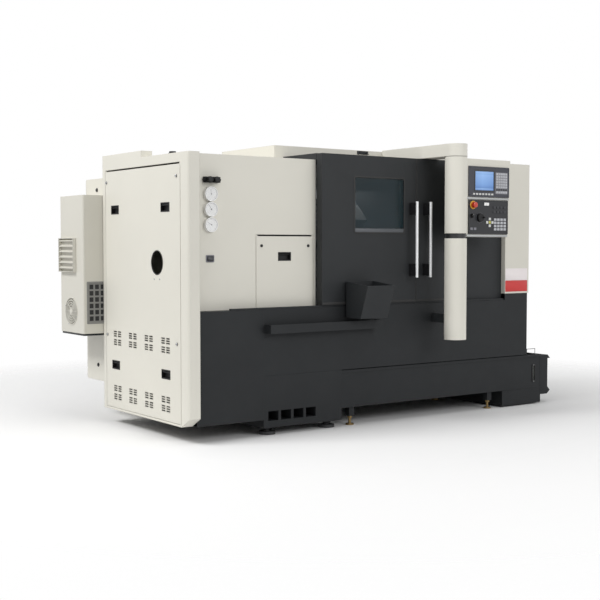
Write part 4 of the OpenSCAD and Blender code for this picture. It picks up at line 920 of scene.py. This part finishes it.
def build_cooler():
    """Filter foam and surround, drip tray, hood lips and guard screws of the cooling unit."""
    unit = span("cooling_housing")
    grille = span("cooling_filter")
    hood = span("cooling_hood")
    guard = span("fan_guard")
    cols, rows, bar = 3, 6, 12.0
    step_x, step_z = (grille.w - bar) / cols, (grille.h - bar) / rows
    y0, y1 = grille.y0 + 2.2, grille.y0 + 3.2
    with piece("filter_foam", "foam", "black_plastic") as bm:
        for i, j in product(range(cols), range(rows)):
            x, z = grille.x0 + bar + i * step_x, grille.z0 + bar + j * step_z
            add_box(bm, (x, y0, z), (x + step_x - bar, y1, z + step_z - bar), 0.4)
    with piece("filter_surround", "grille", "black_plastic") as bm:
        add_frame(bm, front(unit.y0), grille.face, (9, 6), (-3, 3), 3.0, 1.0)
    with piece("drip_tray", "charcoal", "charcoal_paint") as bm:
        add_box(bm, (unit.x0 + 4, unit.y0 + 4, unit.z0 - 14),
                (unit.x1 - 2, unit.y1 - 4, unit.z0), 3.0)
    inset = 1.5
    with piece("hood_lips", "cooler", "cream_paint") as bm:
        for z in (hood.z0 + inset, hood.z1 - inset):
            add_bar(bm, (hood.x0 + inset, hood.y0, z), (hood.x0 + inset, hood.y1, z), 2.0)
    boss = [(19, 0), (19, 1.2), (16, 2.4), (0, 3.0)]
    with piece("guard_screws", "zinc inside cooler", "machined_steel") as bm:
        for u, v in circle(guard.d / 2 - 2.5, 4, 22.5):
            socket_screw(bm, (guard.x0, guard.cy + u, guard.cz + v), LEFT, 4.6, 2.4)
        add_lathe(bm, boss, (guard.x0, guard.cy, guard.cz), LEFT, 32, 2)


# Roof, right end and back

def build_roof_trim():
    """Angle clip on the roof box and the plug over the end cabinet's lifting thread."""
    roof = span("roof_cover")
    x0, w, h, sheet = roof.x0 + 727, 103.0, 24.0, 3.0
    x1, y, z1 = x0 + w, roof.y0 - sheet, roof.z1 - 3
    with piece("roof_clip", "charcoal inside", "charcoal_paint") as bm:
        add_box(bm, (x0, y, z1 - h), (x1, roof.y0, z1))
        add_box(bm, (x0, roof.y0 - 14, z1 - h), (x1, roof.y0 - 2, z1 - h + sheet))
        screw_grid(bm, (x0 + 0.2 * w, x0 + 0.8 * w), [y], [z1 - h / 2 + 1], FRONT, 6.0, 3.2)
    cabinet = span("end_cabinet")
    cover = span("front_left_cover")
    plug = [(0, 0), (27, 0), (27, 5), (22, 7), (22, 14), (20, 16), (11, 16), (11, 10), (0, 10)]
    with piece("lifting_plug", "black", "black_plastic") as bm:
        add_lathe(bm, plug, (cabinet.cx, cabinet.y0 + 262, cover.z1), UP, 32)


def build_field_plate():
    """Plain two-colour plate on the right cover."""
    cover = span("right_cover")
    x0, x1 = cover.x0 + 4, cover.x0 + 241
    low, split, high = cover.z0 + 13, cover.z0 + 98, cover.z0 + 189
    half_gap = 0.4
    fields = ((x0, x1, split + half_gap, high), (x0, x1, low, split - half_gap))
    with piece("field_plate", "plate_white plate_red", "light_plastic") as bm:
        for mat, field in enumerate(fields):
            add_plate(bm, front(cover.y0), field, 5, 1.2, 0.5, mat)


def build_cabinet():
    """Side bolts and door latches of the electrical cabinet."""
    cabinet = span("electrical_cabinet")
    door = span("electrical_door")
    with piece("cabinet_bolts", "iron", "machined_steel") as bm:
        for z in (cabinet.z0 + 110, cabinet.z1 - 80):
            hex_bolt(bm, (cabinet.x0, cabinet.y0 + 196, z), LEFT, 11.0, 8.0)
    dish = [(0, 0), (24, 0), (24, 3), (21, 5), (13, 5.5), (13, 3.5), (0, 3.5)]
    x, y = door.x0 + 46, door.y1
    with piece("door_latches", "black", "black_plastic", "cabinet_door") as bm:
        for k in (0.22, 0.5, 0.78):
            z = door.z0 + k * door.h
            add_lathe(bm, dish, (x, y, z), BACK, 32)
            add_box(bm, (x - 3.5, y + 2, z - 11), (x + 3.5, y + 7, z + 11), 1.4)


def build_back():
    """Screw rows along the edges of the rear hatches and on the right cover."""
    back = span("rear_cover")
    cover = span("right_cover")
    cabinet = span("electrical_cabinet")
    inset, gap, edge, count = 70.0, 60.0, 18.0, 6
    x0, x1 = cabinet.x1 + inset, back.x1 - inset
    wide = (x1 - x0 - gap) / 2
    xs = [x for start in (x0, x0 + wide + gap) for x in (start + edge, start + wide - edge)]
    low, high = back.z0 + 110 + edge, back.z1 - inset - edge
    zs = [low + i * (high - low) / (count - 1) for i in range(count)]
    with piece("rear_screws", "zinc inside", "machined_steel") as bm:
        screw_grid(bm, xs, [back.y1], zs, BACK, 7.0, 3.6)
    with piece("right_cover_screws", "zinc inside", "machined_steel") as bm:
        screw_grid(bm, [cover.x1], (cover.y0 + 60, cover.cy, cover.y1 - 60),
                   (cover.z0 + 30, cover.z1 - 40), RIGHT, 7.0, 3.6)


# Base and tank

def build_feet():
    """Lock nuts and washers on the machine's levelling screws, and rings on their pads."""
    top = span("machine_base").z0 - 1
    bore = 14.2
    nut = [(bore, 0), (24, 0), (24, 12), (22, 14), (bore, 14)]
    washer = [(bore, 0), (30, 0), (31, 1.5), (30, 3), (bore, 3)]
    with piece("foot_nuts", "iron", "machined_steel") as bm:
        for foot in islands("levelling_feet"):
            pad = foot.w / 2
            ring = [(pad - 9, 0), (pad - 9, 2), (pad - 12, 3), (16, 3), (bore, 0)]
            add_lathe(bm, nut, (foot.cx, foot.cy, top - 14), UP, 6)
            add_lathe(bm, washer, (foot.cx, foot.cy, top - 17.5), UP, 32)
            add_lathe(bm, ring, (foot.cx, foot.cy, foot.z0 + 18), UP, 40)


def build_tank():
    """Sight glass in the tank's slot and weld beads along its corners."""
    tank = span("coolant_tank")
    rim = 5.0
    y = tank.y0 + rim
    x0, w, z0, h = tank.x1 - 211, 26.0, 180.0, 120.0
    slot = (x0, x0 + w, z0, z0 + h)
    with piece("sight_frame", "black zinc inside", "black_plastic", "tank") as bm:
        add_frame(bm, front(y), slot, (8, 8), (-3, 6), 4.0, 1.4)
        for z in (z0 - 3, z0 + h + 3):
            socket_screw(bm, (x0 + w / 2, y - 3.6, z), FRONT, 3.4, 2.0, 1, 2)
    with piece("sight_glass", "sight", "tinted_window", "tank") as bm:
        add_plate(bm, front(y + 1.6), (x0 + 1, x0 + w - 1, z0 + 1, z0 + h - 1), 5, 2.6)
    sump_x, end_x = tank.x1 - 540, tank.x1 - 123
    deep_z, shallow_z = 12.0, 127.0
    with piece("tank_welds", "charcoal_low", "charcoal_paint", "tank") as bm:
        add_bar(bm, (sump_x, y, deep_z), (sump_x, y, shallow_z), 3.0, 8)
        add_bar(bm, (sump_x, y, shallow_z), (end_x - 2, y, shallow_z), 2.4, 8)
        add_bar(bm, (end_x, y + 1, deep_z), (end_x, y + 1, tank.z1 - 60), 3.0, 8)


def build_bin():
    """Rolled rim round the mouth of the parts bin."""
    chute = span("parts_bin")
    r, inset, drop, hanger = 3.0, 1.5, 25.0, 20.0
    x0, x1 = chute.x0 + inset, chute.x1 - inset
    y0, y1 = chute.y0 + 2, chute.y1 - hanger - inset
    low, high = chute.z1 - drop, chute.z1
    mouth = [(x0, y1, high), (x0, y0, low), (x1, y0, low), (x1, y1, high)]
    with piece("bin_rim", "charcoal", "charcoal_paint", smooth=60) as bm:
        for a, b in zip(mouth, mouth[1:] + mouth[:1]):
            add_bar(bm, a, b, r)
        for corner in mouth:
            bmesh.ops.create_icosphere(bm, subdivisions=2, radius=r * 1.02 * MM,
                                       matrix=Matrix.Translation(pt(*corner)))


# Work chamber

def build_spindles():
    """Mounting screws and a turned ring on each chuck's face."""
    for node, body, face, r, axis in (("main_chuck", "main_rotor", 100.0, 105.0, RIGHT),
                                      ("sub_spindle", "sub_rotor", 35.0, 82.0, LEFT)):
        chuck = span(node)
        x = chuck.x0 + face
        ring = [(r * 0.62, 0), (r * 0.62, 1.2), (r * 0.58, 1.8), (r * 0.54, 1.2), (r * 0.54, 0)]
        with piece(node + "_screws", "zinc inside", "machined_steel", body) as bm:
            for u, v in circle(r * 0.78, 3, 130) + circle(r * 0.78, 3, 170):
                socket_screw(bm, (x, chuck.cy + u, chuck.cz + v), axis, 7.0, 4.0)
            add_lathe(bm, ring, (x, chuck.cy, chuck.cz), axis, 48)


def build_turret():
    """Cover and bolts on the turret disc's face."""
    disc = span("turret_disc")
    cover = [(62, -2), (62, 5), (58, 8), (20, 9), (18, 6), (0, 6)]
    bolts_r = 44.0
    with piece("turret_cover", "turned zinc inside", "machined_steel", "turret") as bm:
        add_lathe(bm, cover, (disc.x0, disc.cy, disc.cz), LEFT, 48)
        for u, v in circle(bolts_r, 6):
            socket_screw(bm, (disc.x0 - 8, disc.cy + u, disc.cz + v), LEFT, 6.0, 4.0, 1, 2)


def build_rail_plugs():
    """Caps over the bolts along the guide rails."""
    half = sqrt(0.5)
    rail_h, pitch = 30.0, 120.0
    rise = half * rail_h / 2
    cap = [(9, -1), (9, 0.15), (8, 0.25), (0, 0.25)]
    with piece("rail_plugs", "zinc", "machined_steel") as bm:
        for rail in islands("guide_rails"):
            for i in range(int(rail.w // pitch)):
                place = (rail.x0 + (i + 0.5) * pitch, rail.cy - rise, rail.cz + rise)
                add_lathe(bm, cap, place, (0, -half, half), 20)


for build in (build_window, build_seals, build_handles, build_stop, build_panels, build_keys,
              build_dials, build_box_back, build_gauges, build_regulators, build_socket,
              build_panel_screws, build_bar_hole, build_grip_bars, build_vents, build_cooler,
              build_roof_trim, build_field_plate, build_cabinet, build_back, build_feet, build_tank,
              build_bin, build_spindles, build_turret, build_rail_plugs):
    build()


# Stage, light and camera

def build_floor():
    """Pale disc that fades into the white background."""
    radius, below, fade_from, fade_to = 14.0, 0.0005, 2.0, 4.6
    bm = bmesh.new()
    bmesh.ops.create_circle(bm, cap_ends=True, segments=64, radius=radius)
    bmesh.ops.translate(bm, vec=(0, 0, -below), verts=bm.verts)
    mesh = bpy.data.meshes.new("floor")
    bm.to_mesh(mesh)
    bm.free()
    floor = bpy.data.objects.new("floor", mesh)
    bpy.context.scene.collection.objects.link(floor)
    n = surface("floor_white")
    away = n.add("VectorMath", {0: n.coords()}, operation="LENGTH").outputs["Value"]
    n.set(Base_Color=(0.90, 0.90, 0.90), Roughness=0.8, Specular_IOR_Level=0.1,
          Alpha=n.spread(away, 1.0, 0.0, fade_from, fade_to))
    mesh.materials.append(n.owner)


def build_world(strength):
    """Even white surroundings, brighter where the camera looks past the object."""
    world = bpy.data.worlds.new("studio")
    bpy.context.scene.world = world
    n = Shader(world, "Background")
    rays = n.add("LightPath").outputs
    seen = rays["Is Camera Ray"]
    for ray in ("Is Glossy Ray", "Is Transmission Ray"):
        seen = n.math("MAXIMUM", seen, rays[ray])
    n.set(Color=(1.0, 1.0, 1.0), Strength=n.spread(seen, strength, 1.0))


def build_light(name, place, target, size, power):
    """A rectangular lamp in metres and watts that looks at a target."""
    light = bpy.data.lights.new(name, "AREA")
    light.shape = "RECTANGLE"
    light.size, light.size_y = size
    light.energy = power
    obj = bpy.data.objects.new(name, light)
    bpy.context.scene.collection.objects.link(obj)
    obj.location = place
    obj.rotation_euler = (Vector(target) - Vector(place)).to_track_quat("-Z", "Y").to_euler()


def build_lights():
    """Soft lamps at the left, front and top, and a weak one inside the work chamber."""
    middle, low = (0, 0, 0.9), (0, 0, 0.5)
    walls = span("chamber_walls")
    lamp = pt(walls.cx, walls.y1 - 160, walls.z1 - 60)
    aim = pt(walls.cx, walls.cy - 200, walls.z0 + 200)
    build_light("key", (-6.5, 0.4, 6.2), middle, (3.4, 2.4), 362)
    build_light("fill", (1.0, -8.2, 4.2), middle, (5.0, 3.0), 213)
    build_light("chamber", lamp, aim, (0.9, 0.06), 3.2)
    build_light("top", (0.0, -1.0, 5.8), low, (6.0, 4.0), 80)


def build_camera():
    """The photograph's view, measured from the floor under the end cabinet's front corner."""
    back_x, back_y, height = 3366.455, 5862.978, 1228.149
    tilt, pan = radians(90.0 - 2.81), radians(-35.6)
    cabinet = span("end_cabinet")
    cam = bpy.data.cameras.new("photo_camera")
    cam.sensor_width = 36.0
    cam.lens = 66.54
    cam.clip_end = 200.0
    obj = bpy.data.objects.new("photo_camera", cam)
    bpy.context.scene.collection.objects.link(obj)
    obj.location = pt(cabinet.x0 - back_x, cabinet.y0 - back_y, height)
    obj.rotation_euler = (tilt, 0.0, pan)
    bpy.context.scene.camera = obj


build_floor()
build_world(0.41)
build_lights()
build_camera()
bpy.context.scene.view_settings.view_transform = "Standard"

bpy.context.view_layer.update()
